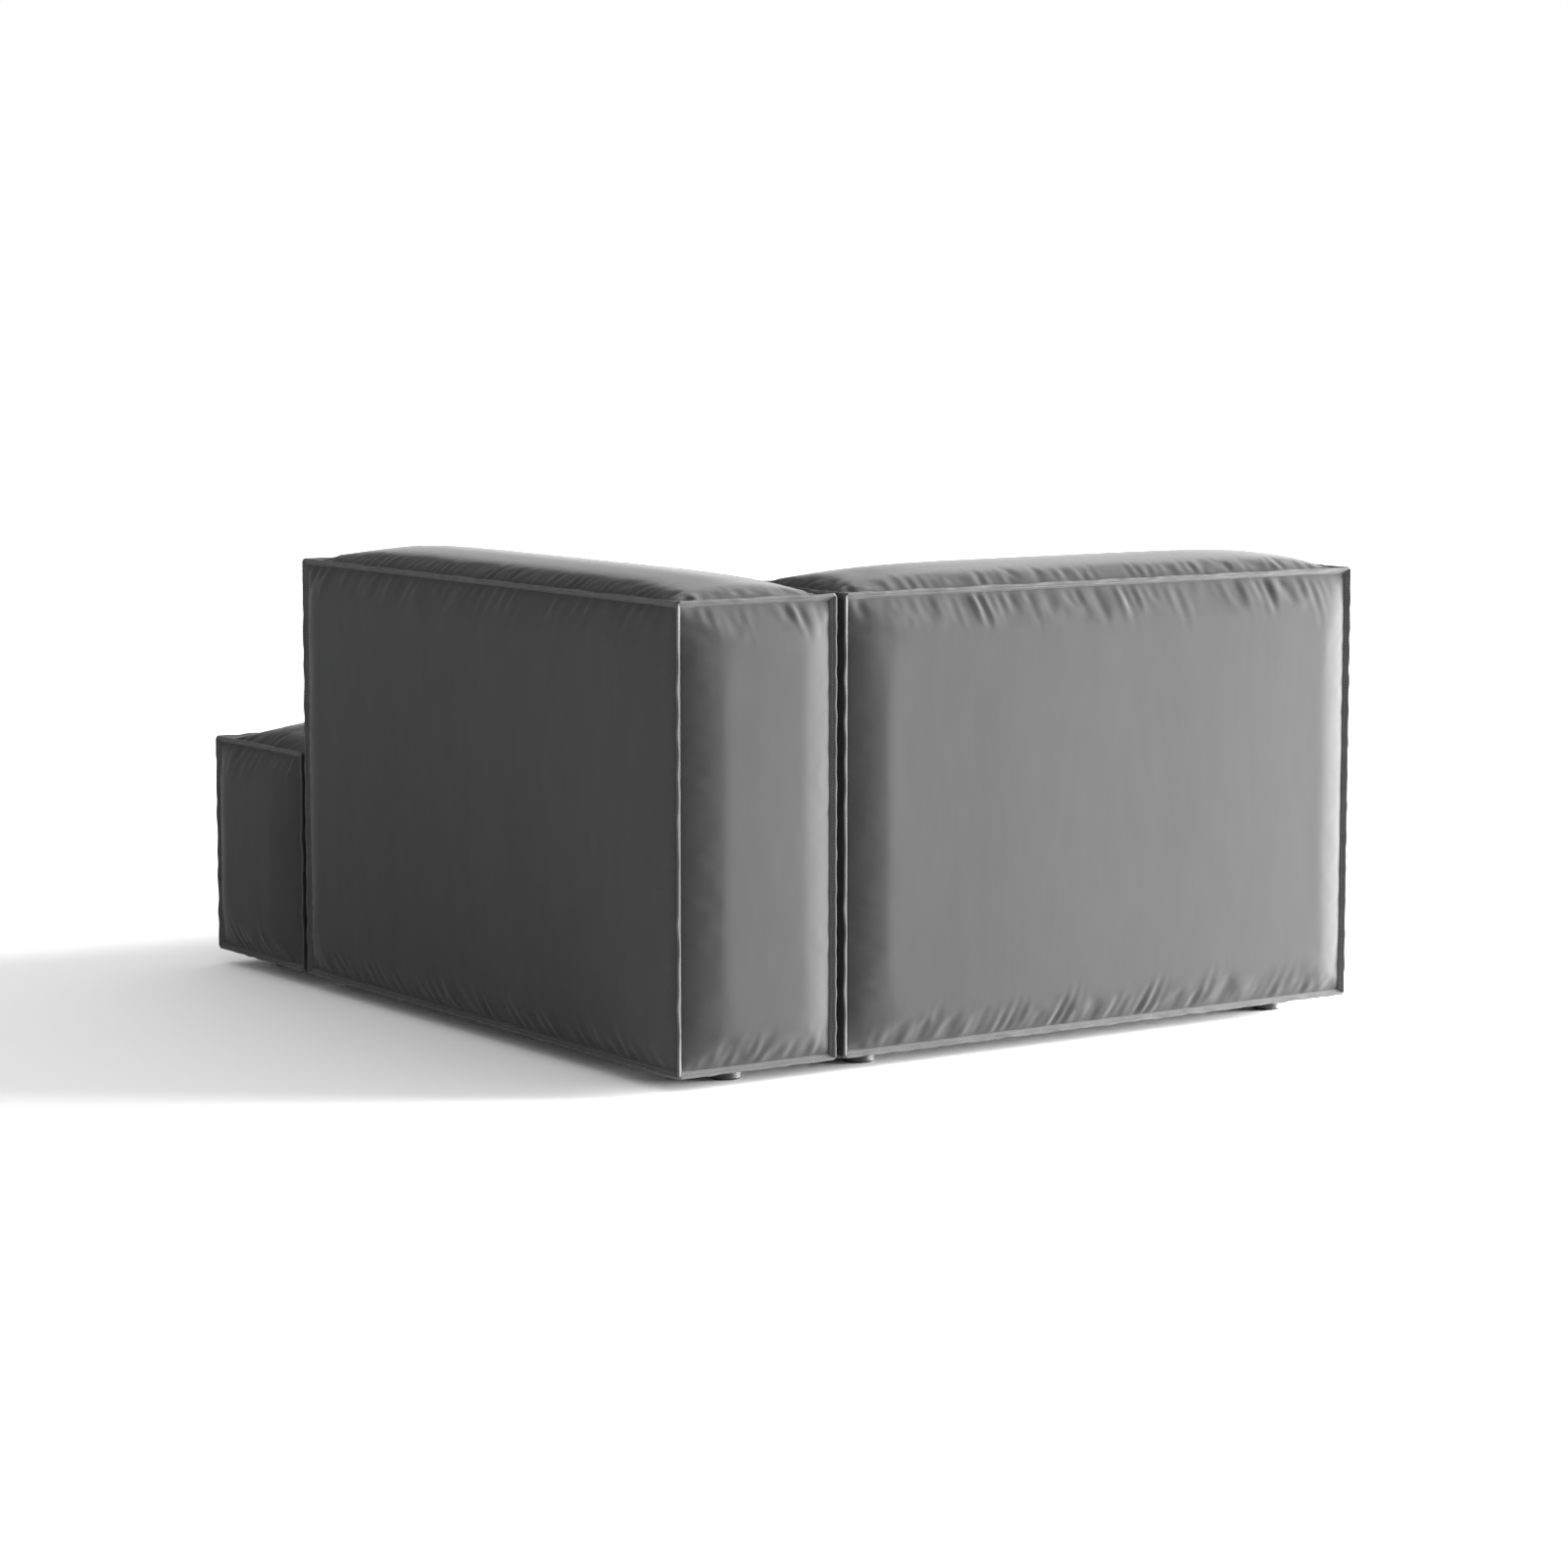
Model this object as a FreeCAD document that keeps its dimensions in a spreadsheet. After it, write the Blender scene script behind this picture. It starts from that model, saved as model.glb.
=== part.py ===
"""A modular upholstered daybed: an L-shaped seat module with an arm and a back module hooked onto it.

Millimetres. +X is the arm's side, -Y the front, +Y the rear and +Z up. The origin is on the floor,
under the middle of the assembled daybed.
"""
import FreeCAD, Part
import math
import os
import re

import Sketcher
from FreeCAD import Placement, Rotation, Vector

SIZES = {
    # the three modules, measured between the tips of their seam flanges
    "total_width": 1225,
    "block_height": 660,
    "seat_height": 352,
    "arm_width": 266,
    "arm_length": 1082,
    "toe_length": 296,
    "back_thickness": 266,
    "rim_clearance": 25,
    "module_gap": 14,
    # padding: how far each panel stands out from its seams, and over what distance it rises
    "side_crown": 27,
    "side_rise": 60,
    "soft_clearance": 0.5,
    "top_crown": 35,
    "top_rise": 110,
    "seat_crown": 43,
    "seat_rise": 130,
    # cover and its flanged seams
    "cover_skin": 2,
    "cover_return": 50,
    "skin_clearance": 0.3,
    "flange_reach": 7,
    "flange_thick": 4,
    # timber frames
    "frame_inset": 20,
    "board": 3,
    "rail_thick": 25,
    "seat_rail_tall": 150,
    "bottom_rail_tall": 70,
    "top_rail_tall": 45,
    "tie_board_wide": 90,
    "post_wide": 45,
    "corner_leg": 140,
    "corner_tip": 12,
    "corner_tall": 60,
    "top_pad": 30,
    # springs and webbing
    "wire_radius": 1.9,
    "wire_lift": 5,
    "loop_pitch": 22,
    "loop_straight": 30,
    "spring_rows": 7,
    "spring_side_margin": 75,
    "clip_wide": 24,
    "clip_deep": 11,
    "clip_roof": 1.2,
    "clip_clearance": 0.1,
    "tie_radius": 1.5,
    "tie_clearance": 0.1,
    "pad_thick": 6,
    "core_thick": 115,
    "strap_wide": 50,
    "strap_thick": 2,
    "strap_count": 6,
    # feet and their screws
    "foot_radius": 24,
    "foot_chamfer": 3,
    "foot_inset": 78,
    "foot_bore": 2.8,
    "foot_recess_radius": 8,
    "foot_recess_deep": 12,
    "head_radius": 5.5,
    "head_tall": 3,
    "shank_radius": 2.4,
    "foot_screw_long": 48,
    "plate_screw_long": 26,
    "screw_point": 5,
    "screw_clearance": 0.2,
    # connectors between the modules
    "plate_thick": 4,
    "plate_long": 110,
    "plate_wide": 30,
    "tongue_clearance": 0.6,
    "tongue_wide": 40,
    "tongue_end": 14,
    "pin_radius": 5,
    "pin_clearance": 0.5,
    "pin_tall": 20,
    "pin_tip": 4,
    "plate_screw_offset": 36,
    "rear_connector_inset": 150,
    "front_connector_inset": 160,
}

doc = FreeCAD.newDocument("daybed")
sheet = doc.addObject("Spreadsheet::Sheet", "Sizes")
for row, (alias, number) in enumerate(SIZES.items(), start=1):
    sheet.set(f"A{row}", alias)
    sheet.set(f"B{row}", str(number))
    sheet.setAlias(f"B{row}", alias)
doc.recompute()

WORD = re.compile(r"[a-z]+(?:_[a-z]+)*")
X, Y, Z = 0, 1, 2
AXES = "xyz"
ACROSS_Y = Rotation(Vector(1, 0, 0), 90)
ACROSS_X = Rotation(Vector(1, 1, 1), 120)
UPRIGHT = Rotation()


def formula(text):
    """The expression with each size's name pointed at the sheet."""
    return WORD.sub(lambda word: f"Sizes.{word[0]}" if word[0] in SIZES else word[0], str(text))


def value(text):
    """The number that an expression gives now."""
    result = sheet.evalExpression(formula(text))
    return float(getattr(result, "Value", result))


def bind(item, name, text):
    item.setExpression(name, formula(text))


def put(item, place, rotation=UPRIGHT):
    """Turns an object and ties its position to three expressions."""
    item.Placement = Placement(Vector(0, 0, 0), rotation)
    for axis, text in zip(AXES, place):
        bind(item, f"Placement.Base.{axis}", text)
    return item


def box(name, low, high):
    """A board or strip between two corners, each given as three expressions."""
    item = put(doc.addObject("Part::Box", name), low)
    for side, start, end in zip(("Length", "Width", "Height"), low, high):
        bind(item, side, f"({end}) - ({start})")
    return item


def cylinder(name, place, radius, tall, rotation=UPRIGHT):
    item = put(doc.addObject("Part::Cylinder", name), place, rotation)
    bind(item, "Radius", radius)
    bind(item, "Height", tall)
    return item


def group(name, items):
    """Separate solids of one kind, kept together as one sub-part."""
    item = doc.addObject("Part::Compound", name)
    item.Links = items
    return item


def fuse(name, items):
    item = doc.addObject("Part::MultiFuse", name)
    item.Shapes = items
    return item


def common(name, items):
    item = doc.addObject("Part::MultiCommon", name)
    item.Shapes = items
    return item


def cut(name, base, tools):
    """The base with every tool taken out of it."""
    item = doc.addObject("Part::Cut", name)
    item.Base = base
    item.Tool = tools[0] if len(tools) == 1 else group(f"{name}_tools", tools)
    return item


def copies(name, master, places):
    """Copies of one piece: each place is three expressions and a rotation."""
    links = []
    for number, (place, rotation) in enumerate(places):
        link = doc.addObject("App::Link", f"{name}_{number}")
        link.LinkedObject = master
        links.append(put(link, place, rotation))
    return group(name, links)


# ---------------------------------------------------------------- padded blocks

def polygon_or_arcs(sketch, points, radii):
    """Closes an outline through the points, with an arc wherever a radius is given.

    Points are pairs of expressions, anticlockwise; each arc bulges outward.
    """
    spots = [Vector(value(u), value(v), 0) for u, v in points]
    count = len(points)
    for number, radius in enumerate(radii):
        start, end = spots[number], spots[(number + 1) % count]
        if radius is None:
            sketch.addGeometry(Part.LineSegment(start, end), False)
            continue
        chord = end - start
        outward = Vector(chord.y, -chord.x, 0).normalize()
        size = value(radius)
        sag = size - math.sqrt(size ** 2 - chord.Length ** 2 / 4)
        sketch.addGeometry(Part.Arc(start, (start + end) * 0.5 + outward * sag, end), False)
    for number, radius in enumerate(radii):
        sketch.addConstraint(Sketcher.Constraint("Coincident", number, 2, (number + 1) % count, 1))
        for kind, amount, text in zip(("DistanceX", "DistanceY"), spots[number], points[number]):
            index = sketch.addConstraint(Sketcher.Constraint(kind, -1, 1, number, 1, amount))
            bind(sketch, f"Constraints[{index}]", text)
        if radius is not None:
            index = sketch.addConstraint(Sketcher.Constraint("Radius", number, value(radius)))
            bind(sketch, f"Constraints[{index}]", radius)
    return sketch


def padded_outline(name, rotation, spans, crowns, rises):
    """A rectangle whose crowned sides rise in an arc from each corner and run flat between.

    spans are the low and high ends along the outline's two directions; crowns and rises go
    round from its low side: low, right, high, left. A crown of None is a straight side.
    """
    (left, right), (low, high) = spans
    corners = [(left, low), (right, low), (right, high), (left, high)]
    outward = [(0, -1), (1, 0), (0, 1), (-1, 0)]
    points, radii = [], []
    for side, (crown, rise) in enumerate(zip(crowns, rises)):
        start, end = corners[side], corners[(side + 1) % 4]
        points.append(start)
        if crown is None:
            radii.append(None)
            continue
        length = f"({right}) - ({left})" if side % 2 == 0 else f"({high}) - ({low})"
        reach = f"min({rise}; 0.45 * ({length}))"
        out_u, out_v = outward[side]
        # the way round the outline is a quarter turn on from the outward direction
        along_u, along_v = -out_v, out_u
        for corner, way in ((start, 1), (end, -1)):
            points.append((
                f"({corner[0]}) + {way * along_u} * ({reach}) + {out_u} * ({crown})",
                f"({corner[1]}) + {way * along_v} * ({reach}) + {out_v} * ({crown})",
            ))
        radius = f"(({reach})^2 + ({crown})^2) / (2 * ({crown}))"
        radii += [radius, None, radius]
    sketch = doc.addObject("Sketcher::SketchObject", name)
    sketch.Placement = Placement(Vector(0, 0, 0), rotation)
    return polygon_or_arcs(sketch, points, radii)


def prism(name, sketch, direction, length):
    """The outline drawn out to both sides of its plane."""
    item = doc.addObject("Part::Extrusion", name)
    item.Base = sketch
    item.DirMode = "Custom"
    item.Dir = direction
    item.Symmetric = True
    item.Solid = True
    bind(item, "LengthFwd", length)
    return item


def padded_block(name, low, high, crowns, top, inset):
    """A block with puffed sides and top and a flat bottom: three crowned prisms in common.

    crowns are those of the low X, high X, low Y and high Y sides; top is the crown and rise of
    the top; inset moves every face inward.
    """
    x_low, y_low, z_low = (f"({text}) + {inset}" for text in low)
    x_high, y_high, z_high = (f"({text}) - ({inset})" for text in high)
    west, east, south, north = crowns
    top_crown, top_rise = top
    rise = "side_rise"
    plan = padded_outline(f"{name}_plan", UPRIGHT, ((x_low, x_high), (y_low, y_high)),
                          (south, east, north, west), (rise, rise, rise, rise))
    front = padded_outline(f"{name}_front", ACROSS_Y, ((x_low, x_high), (z_low, z_high)),
                           (None, east, top_crown, west), (None, rise, top_rise, rise))
    side = padded_outline(f"{name}_side", ACROSS_X, ((y_low, y_high), (z_low, z_high)),
                          (None, north, top_crown, south), (None, rise, top_rise, rise))
    return common(name, [
        prism(f"{name}_plan_prism", plan, Vector(0, 0, 1), "4 * (block_height + seat_height)"),
        prism(f"{name}_front_prism", front, Vector(0, 1, 0), "4 * arm_length"),
        prism(f"{name}_side_prism", side, Vector(1, 0, 0), "2 * total_width"),
    ])


def layers(name, parts):
    """The outside of a cover, its inside, and the foam under it, each built from the same blocks."""
    insets = {"skin": "0", "lining": "cover_skin", "filling": "(cover_skin + skin_clearance)"}
    made = []
    for layer, inset in insets.items():
        blocks = [padded_block(f"{name}_{layer}_{number}", *part, inset)
                  for number, part in enumerate(parts)]
        made.append(blocks[0] if len(blocks) == 1 else fuse(f"{name}_{layer}", blocks))
    return made


def fin(name, axis, start, end, signs, past=("flange_reach", "flange_reach")):
    """One flanged seam: a strip that stands out at 45 degrees from a straight edge.

    start and end are the edge's ends, past is how far the strip runs beyond each of them, and signs
    are the outward directions along the two other axes.
    """
    first, second = [other for other in (X, Y, Z) if other != axis]
    outward = Vector(0, 0, 0)
    outward[first], outward[second] = signs
    outward.normalize()
    along = Vector(0, 0, 0)
    along[axis] = 1
    normal = outward.cross(along)
    base = list(start)
    base[axis] = f"({start[axis]}) - ({past[0]})"
    for other in (first, second):
        base[other] = (f"({start[other]}) + skin_clearance * {outward[other]:.9f}"
                       f" - flange_thick / 2 * {normal[other]:.9f}")
    strip = doc.addObject("Part::Box", name)
    put(strip, base, Rotation(outward, along, normal, "ZXY"))
    bind(strip, "Length", "flange_reach * sqrt(2) - skin_clearance")
    bind(strip, "Width", f"({end[axis]}) - ({start[axis]}) + ({past[0]}) + ({past[1]})")
    bind(strip, "Height", "flange_thick")
    return strip


def seams(name, outline, z_low, z_high):
    """The flanged seams of a block: up each corner and round its top and bottom edges.

    outline lists the corners in plan, anticlockwise: each corner's place, its outward X and Y signs,
    and how far the level seams run past it. At an inner corner they stop short of the pressed
    panels, and the upright seam is a plain one with no flange.
    """
    strips = []
    for number, (place, signs, past) in enumerate(outline):
        x, y = place
        if past == OUTER:
            strips.append(fin(f"{name}_corner_{number}", Z, (x, y, z_low), (x, y, z_high), signs))
        (next_x, next_y), _, next_past = outline[(number + 1) % len(outline)]
        axis = X if y == next_y else Y
        forward = value(next_x if axis == X else next_y) > value(x if axis == X else y)
        ends, runs = [place, (next_x, next_y)], (past, next_past)
        low, high = ends if forward else ends[::-1]
        if not forward:
            runs = runs[::-1]
        # anticlockwise, the outside is on the right of the way round
        out = (-1 if forward else 1) if axis == X else (1 if forward else -1)
        for level, up in ((z_low, -1), (z_high, 1)):
            edge = f"{name}_{'top' if up > 0 else 'bottom'}_{number}"
            strips.append(fin(edge, axis, (*low, level), (*high, level), (out, up), runs))
    return fuse(name, strips)


# ---------------------------------------------------------------- turned pieces

def turned(name, profile):
    """A piece turned about Z from (radius, height) expressions, as a PartDesign body."""
    body = doc.addObject("PartDesign::Body", name)
    sketch = body.newObject("Sketcher::SketchObject", f"{name}_profile")
    plane = next(item for item in body.Origin.OriginFeatures if item.Role == "XZ_Plane")
    sketch.AttachmentSupport = [(plane, "")]
    sketch.MapMode = "FlatFace"
    polygon_or_arcs(sketch, profile, [None] * len(profile))
    doc.recompute()
    spin = body.newObject("PartDesign::Revolution", f"{name}_spin")
    spin.Profile = sketch
    spin.ReferenceAxis = (sketch, ["V_Axis"])
    spin.Angle = 360
    body.Tip = spin
    return body


def screw(name, length):
    """A pan-head wood screw, its head's underside at height 0 and its point up."""
    return turned(name, [
        ("0", "-head_tall"), ("head_radius - head_tall / 3", "-head_tall"), ("head_radius", "-head_tall / 2"),
        ("head_radius", "0"), ("shank_radius", "0"), ("shank_radius", f"{length} - screw_point"),
        ("0", length),
    ])


BASE_Z = "(rim_clearance + flange_reach)"
foot = turned("foot_pattern", [
    ("foot_recess_radius", "0"), ("foot_radius - foot_chamfer", "0"), ("foot_radius", "foot_chamfer"),
    ("foot_radius", BASE_Z), ("foot_bore", BASE_Z), ("foot_bore", "foot_recess_deep"),
    ("foot_recess_radius", "foot_recess_deep"),
])
foot_screw = screw("foot_screw_pattern", "foot_screw_long")
plate_screw = screw("plate_screw_pattern", "plate_screw_long")


def feet(module, places):
    """Feet under the plan places, each held by a screw up through its middle."""
    copies(f"{module}_feet", foot, [((x, y, "0"), UPRIGHT) for x, y in places])
    copies(f"{module}_foot_screws", foot_screw, [((x, y, "foot_recess_deep"), UPRIGHT) for x, y in places])


# ---------------------------------------------------------------- places shared by the modules

FRAME_Z = f"({BASE_Z} + cover_skin)"
BLOCK_TOP = "(rim_clearance + block_height - flange_reach)"
SEAT_TOP = "(rim_clearance + seat_height - flange_reach)"
ROOT_GAP = "(module_gap + 2 * flange_reach)"
# the outermost point of a flange's square tip, past its seam; a hidden panel is pressed back to it
FLANGE_TIP = "(flange_reach + flange_thick / sqrt(8))"
PRESSED_CROWN = FLANGE_TIP
FACING_CROWN = f"({ROOT_GAP} - {FLANGE_TIP} - soft_clearance)"
OUTER, INNER = "flange_reach", f"(-{FLANGE_TIP} - soft_clearance)"

EAST = "(total_width / 2 - flange_reach)"
WEST = "(-total_width / 2 + flange_reach)"
TOTAL_DEPTH = "(arm_length + module_gap + toe_length)"
NORTH = f"({TOTAL_DEPTH} / 2 - flange_reach)"
SOUTH = f"(-{TOTAL_DEPTH} / 2 + flange_reach)"
ARM_WEST = f"({EAST} - arm_width + 2 * flange_reach)"
ARM_SOUTH = f"({NORTH} - arm_length + 2 * flange_reach)"
BACK_EAST = f"({ARM_WEST} - {ROOT_GAP})"
BACK_SOUTH = f"({NORTH} - back_thickness + 2 * flange_reach)"
SEAT_NORTH = f"({BACK_SOUTH} - {ROOT_GAP})"
TOE_NORTH = f"({ARM_SOUTH} - {ROOT_GAP})"

# connector pins: a place on the neighbour's rail and the direction that the tongue points
PIN_DEPTH = "(frame_inset + board + rail_thick / 2)"
SEAT_RAIL_DEPTH = "(frame_inset + rail_thick / 2)"
ARM_PINS = [
    (f"{ARM_WEST} + {PIN_DEPTH}", f"{SEAT_NORTH} - rear_connector_inset"),
    (f"{ARM_WEST} + {PIN_DEPTH}", f"{ARM_SOUTH} + front_connector_inset"),
]
BACK_PINS = [
    (f"{WEST} + front_connector_inset", f"{BACK_SOUTH} + {PIN_DEPTH}"),
    (f"{BACK_EAST} - rear_connector_inset", f"{BACK_SOUTH} + {PIN_DEPTH}"),
]
# the locating plates step down far enough to pass under the hanging flanges
PLATE_DROP = f"({FLANGE_TIP} + tongue_clearance)"
TOWARDS_X = UPRIGHT
TOWARDS_Y = Rotation(Vector(0, 0, 1), 90)


# ---------------------------------------------------------------- connectors

def locating_plate():
    """A joggled plate screwed under the seat, with a pin standing on its tongue.

    Its origin is under the pin at the height of the module's underside, and it reaches back along -X.
    """
    back = f"(-({ROOT_GAP} + {PIN_DEPTH} + {SEAT_RAIL_DEPTH}))"
    foot_low = (f"{back} - plate_wide / 2", "-plate_long / 2", "-plate_thick")
    foot_high = (f"{back} + plate_wide / 2", "plate_long / 2", "0")
    tongue_z = f"(-plate_thick - {PLATE_DROP})"
    web_low = (f"({back} + plate_wide / 2 - plate_thick)", "-tongue_wide / 2", tongue_z)
    pin_straight = f"{PLATE_DROP} + pin_tall - pin_tip"
    parts = [
        box("plate_foot", foot_low, foot_high),
        box("plate_web", web_low, (f"{back} + plate_wide / 2", "tongue_wide / 2", "0")),
        box("plate_tongue", web_low, ("tongue_end", "tongue_wide / 2", f"{tongue_z} + plate_thick")),
        cylinder("plate_pin", ("0", "0", tongue_z), "pin_radius", pin_straight),
    ]
    tip = put(doc.addObject("Part::Cone", "plate_pin_tip"), ("0", "0", f"{tongue_z} + {pin_straight}"))
    bind(tip, "Radius1", "pin_radius")
    bind(tip, "Radius2", "pin_radius / 2")
    bind(tip, "Height", "pin_tip")
    holes = [cylinder(f"plate_hole_{side}", (back, f"{side} * plate_screw_offset", "-2 * plate_thick"),
                      "shank_radius + screw_clearance", "3 * plate_thick") for side in (-1, 1)]
    return cut("locating_plate_pattern", fuse("plate_body", parts + [tip]), holes)


def socket_plate():
    """A flat plate screwed under the arm or back, with the hole that drops over the pin."""
    blank = box("socket_blank", ("-plate_wide / 2", "-plate_long / 2", "-plate_thick"),
                ("plate_wide / 2", "plate_long / 2", "0"))
    holes = [cylinder("socket_hole", ("0", "0", "-2 * plate_thick"), "pin_radius + pin_clearance",
                      "3 * plate_thick")]
    holes += [cylinder(f"socket_screw_hole_{side}", ("0", f"{side} * plate_screw_offset", "-2 * plate_thick"),
                       "shank_radius + screw_clearance", "3 * plate_thick") for side in (-1, 1)]
    return cut("socket_plate_pattern", blank, holes)


def plate_screws(name, places):
    """Two screws for each plate; a place is the plate's middle and its rotation."""
    spots = []
    for (x, y), rotation in places:
        for side in (-1, 1):
            offset = rotation.multVec(Vector(0, side, 0))
            spots.append(((f"{x} + {round(offset.x)} * plate_screw_offset",
                           f"{y} + {round(offset.y)} * plate_screw_offset",
                           f"{BASE_Z} - plate_thick"), UPRIGHT))
    return copies(name, plate_screw, spots)


locating = locating_plate()
socket = socket_plate()
seat_plates = [(pin, TOWARDS_X) for pin in ARM_PINS] + [(pin, TOWARDS_Y) for pin in BACK_PINS]
copies("seat_connector_plates", locating, [((*pin, BASE_Z), turn) for pin, turn in seat_plates])
PLATE_BACK = f"({ROOT_GAP} + {PIN_DEPTH} + {SEAT_RAIL_DEPTH})"
plate_screws("seat_connector_screws",
             [((f"{x} - {PLATE_BACK}", y), TOWARDS_X) for x, y in ARM_PINS]
             + [((x, f"{y} - {PLATE_BACK}"), TOWARDS_Y) for x, y in BACK_PINS])


# ---------------------------------------------------------------- arm and back modules

def pocket(name, pins):
    """The clearance bored above each pin, up into the module's bottom rail."""
    return [cylinder(f"{name}_{number}", (x, y, "0"), "pin_radius + pin_clearance", f"{BASE_Z} + pin_tall")
            for number, (x, y) in enumerate(pins)]


def upright_module(name, corner, thick, length, along, crowns, sheeted, pins, plates, foot_places):
    """An arm or a back: a boarded timber frame under foam slabs and a flanged cover.

    corner is its low X and Y seam corner, thick and length its sizes between seams, and along the
    axis its length runs on. crowns are those of its low and high thickness sides and its low and
    high ends. sheeted says whether the low thickness side has a board, or webbing straps.
    """
    def place(across, on, z):
        """Thickness, length and height measured in the module, as X, Y and Z expressions."""
        x, y = (across, on) if along == Y else (on, across)
        return f"{corner[0]} + {x}", f"{corner[1]} + {y}", z

    def part(label, low, high):
        return box(f"{name}_{label}", place(*low), place(*high))

    low_side, high_side, low_end, high_end = crowns
    sides = crowns if along == Y else (low_end, high_end, low_side, high_side)
    block = (place("0", "0", BASE_Z), place(thick, length, BLOCK_TOP), sides, ("top_crown", "top_rise"))
    skin, lining, filling = layers(name, [block])

    edge = "(frame_inset + board)"
    far, end = f"({thick} - {edge})", f"({length} - {edge})"
    top = f"({BLOCK_TOP} - top_pad - board)"
    rail_top = f"({FRAME_Z} + bottom_rail_tall)"
    upper = f"({top} - top_rail_tall)"
    inner_low, inner_high = f"({edge} + rail_thick)", f"({far} - rail_thick)"

    rails = [part("bottom_rail_low", (edge, edge, FRAME_Z), (inner_low, end, rail_top)),
             part("bottom_rail_high", (inner_high, edge, FRAME_Z), (far, end, rail_top))]
    bored = cut(f"{name}_bottom_rail_bored", rails[0], pocket(f"{name}_rail_pocket", pins))

    def stations(wide):
        """Where a cross piece of some width starts at the first end, the middle and the last end."""
        return {"first": edge, "middle": f"(({length} - {wide}) / 2)", "last": f"({end} - {wide})"}

    ties = [part(f"tie_board_{label}", (inner_low, start, FRAME_Z),
                 (inner_high, f"{start} + tie_board_wide", f"{FRAME_Z} + rail_thick"))
            for label, start in stations("tie_board_wide").items()]
    group(f"{name}_bottom_frame", [bored, rails[1]] + ties)

    top_rails = [part("top_rail_low", (edge, edge, upper), (inner_low, end, top)),
                 part("top_rail_high", (inner_high, edge, upper), (far, end, top))]
    posts = []
    for label, start in stations("post_wide").items():
        stop = f"{start} + post_wide"
        posts.append(part(f"post_low_{label}", (edge, start, rail_top), (inner_low, stop, upper)))
        posts.append(part(f"post_high_{label}", (inner_high, start, rail_top), (far, stop, upper)))
        top_rails.append(part(f"top_tie_{label}", (inner_low, start, upper), (inner_high, stop, top)))
    group(f"{name}_top_frame", top_rails)
    group(f"{name}_posts", posts)

    high_board = part("board_high", (far, edge, FRAME_Z), (f"{far} + board", end, top))
    if sheeted:
        group(f"{name}_side_boards",
              [part("board_low", ("frame_inset", edge, FRAME_Z), (edge, end, top)), high_board])
    else:
        group(f"{name}_rear_board", [high_board])
        straps = []
        for number in range(int(value("strap_count"))):
            # straps stand evenly between the end posts
            middle = f"({edge} + ({length} - 2 * {edge}) * {number + 0.5} / strap_count)"
            strap_low = (f"{edge} - strap_thick", f"{middle} - strap_wide / 2", FRAME_Z)
            straps.append(part(f"strap_{number}", strap_low, (edge, f"{middle} + strap_wide / 2", top)))
        group(f"{name}_webbing", straps)
    outer, outer_end, slab_top = f"({far} + board)", f"({end} + board)", f"({top} + board)"
    inset = "frame_inset"
    group(f"{name}_end_boards",
          [part("board_first", (inset, inset, FRAME_Z), (outer, edge, top)),
           part("board_last", (inset, end, FRAME_Z), (outer, outer_end, top))])
    part("top_board", (inset, inset, top), (outer, outer_end, slab_top))

    def slab(label, low, high):
        """The part of the filling that a box takes in."""
        return common(f"{name}_{label}", [filling, part(f"{label}_region", low, high)])

    before, beyond, past = "-2 * side_crown", f"{thick} + 2 * side_crown", f"{length} + 2 * side_crown"
    slab("top_foam", (before, before, slab_top), (beyond, past, f"{BLOCK_TOP} + 2 * top_crown"))
    group(f"{name}_side_foam",
          [slab("low_foam", (before, inset, "0"), (inset, outer_end, slab_top)),
           slab("high_foam", (outer, inset, "0"), (beyond, outer_end, slab_top))])
    group(f"{name}_end_foam",
          [slab("first_foam", (before, before, "0"), (beyond, inset, slab_top)),
           slab("last_foam", (before, outer_end, "0"), (beyond, past, slab_top))])

    hem = "cover_return"
    opening = part("cover_opening", (hem, hem, BASE_Z), (f"{thick} - {hem}", f"{length} - {hem}", FRAME_Z))
    pin_holes = pocket(f"{name}_cover_pocket", pins)
    cut(f"{name}_cover", skin, [lining, opening] + pin_holes)
    part("dust_cover", (hem, hem, BASE_Z), (f"{thick} - {hem}", f"{length} - {hem}", FRAME_Z))

    (west, south, _), (east, north, _) = place("0", "0", BASE_Z), place(thick, length, BASE_Z)
    outline = [((west, south), (-1, -1), OUTER), ((east, south), (1, -1), OUTER),
               ((east, north), (1, 1), OUTER), ((west, north), (-1, 1), OUTER)]
    seams(f"{name}_seam_flanges", outline, BASE_Z, BLOCK_TOP)

    copies(f"{name}_connector_plates", socket, [((*pin, BASE_Z), plates) for pin in pins])
    plate_screws(f"{name}_connector_screws", [(pin, plates) for pin in pins])
    feet(name, [place(*spot, "0")[:2] for spot in foot_places])


ARM_THICK = "(arm_width - 2 * flange_reach)"
ARM_LONG = "(arm_length - 2 * flange_reach)"
BACK_THICK = "(back_thickness - 2 * flange_reach)"
BACK_LONG = f"({BACK_EAST} - {WEST})"

upright_module("arm", (ARM_WEST, ARM_SOUTH), ARM_THICK, ARM_LONG, Y,
               (FACING_CROWN, "side_crown", FACING_CROWN, "side_crown"), True, ARM_PINS, TOWARDS_X,
               [(f"{ARM_THICK} / 2", "foot_inset"), (f"{ARM_THICK} / 2", f"{ARM_LONG} - foot_inset")])
upright_module("back", (WEST, BACK_SOUTH), BACK_THICK, BACK_LONG, X,
               (FACING_CROWN, "side_crown", "side_crown", PRESSED_CROWN), False, BACK_PINS, TOWARDS_Y,
               [(depth, span) for depth in ("foot_inset", f"{BACK_THICK} - foot_inset")
                for span in ("foot_inset", f"{BACK_LONG} - foot_inset")])


# ---------------------------------------------------------------- seat module

def seat_box(label, low, high):
    return box(f"seat_{label}", low, high)


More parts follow.
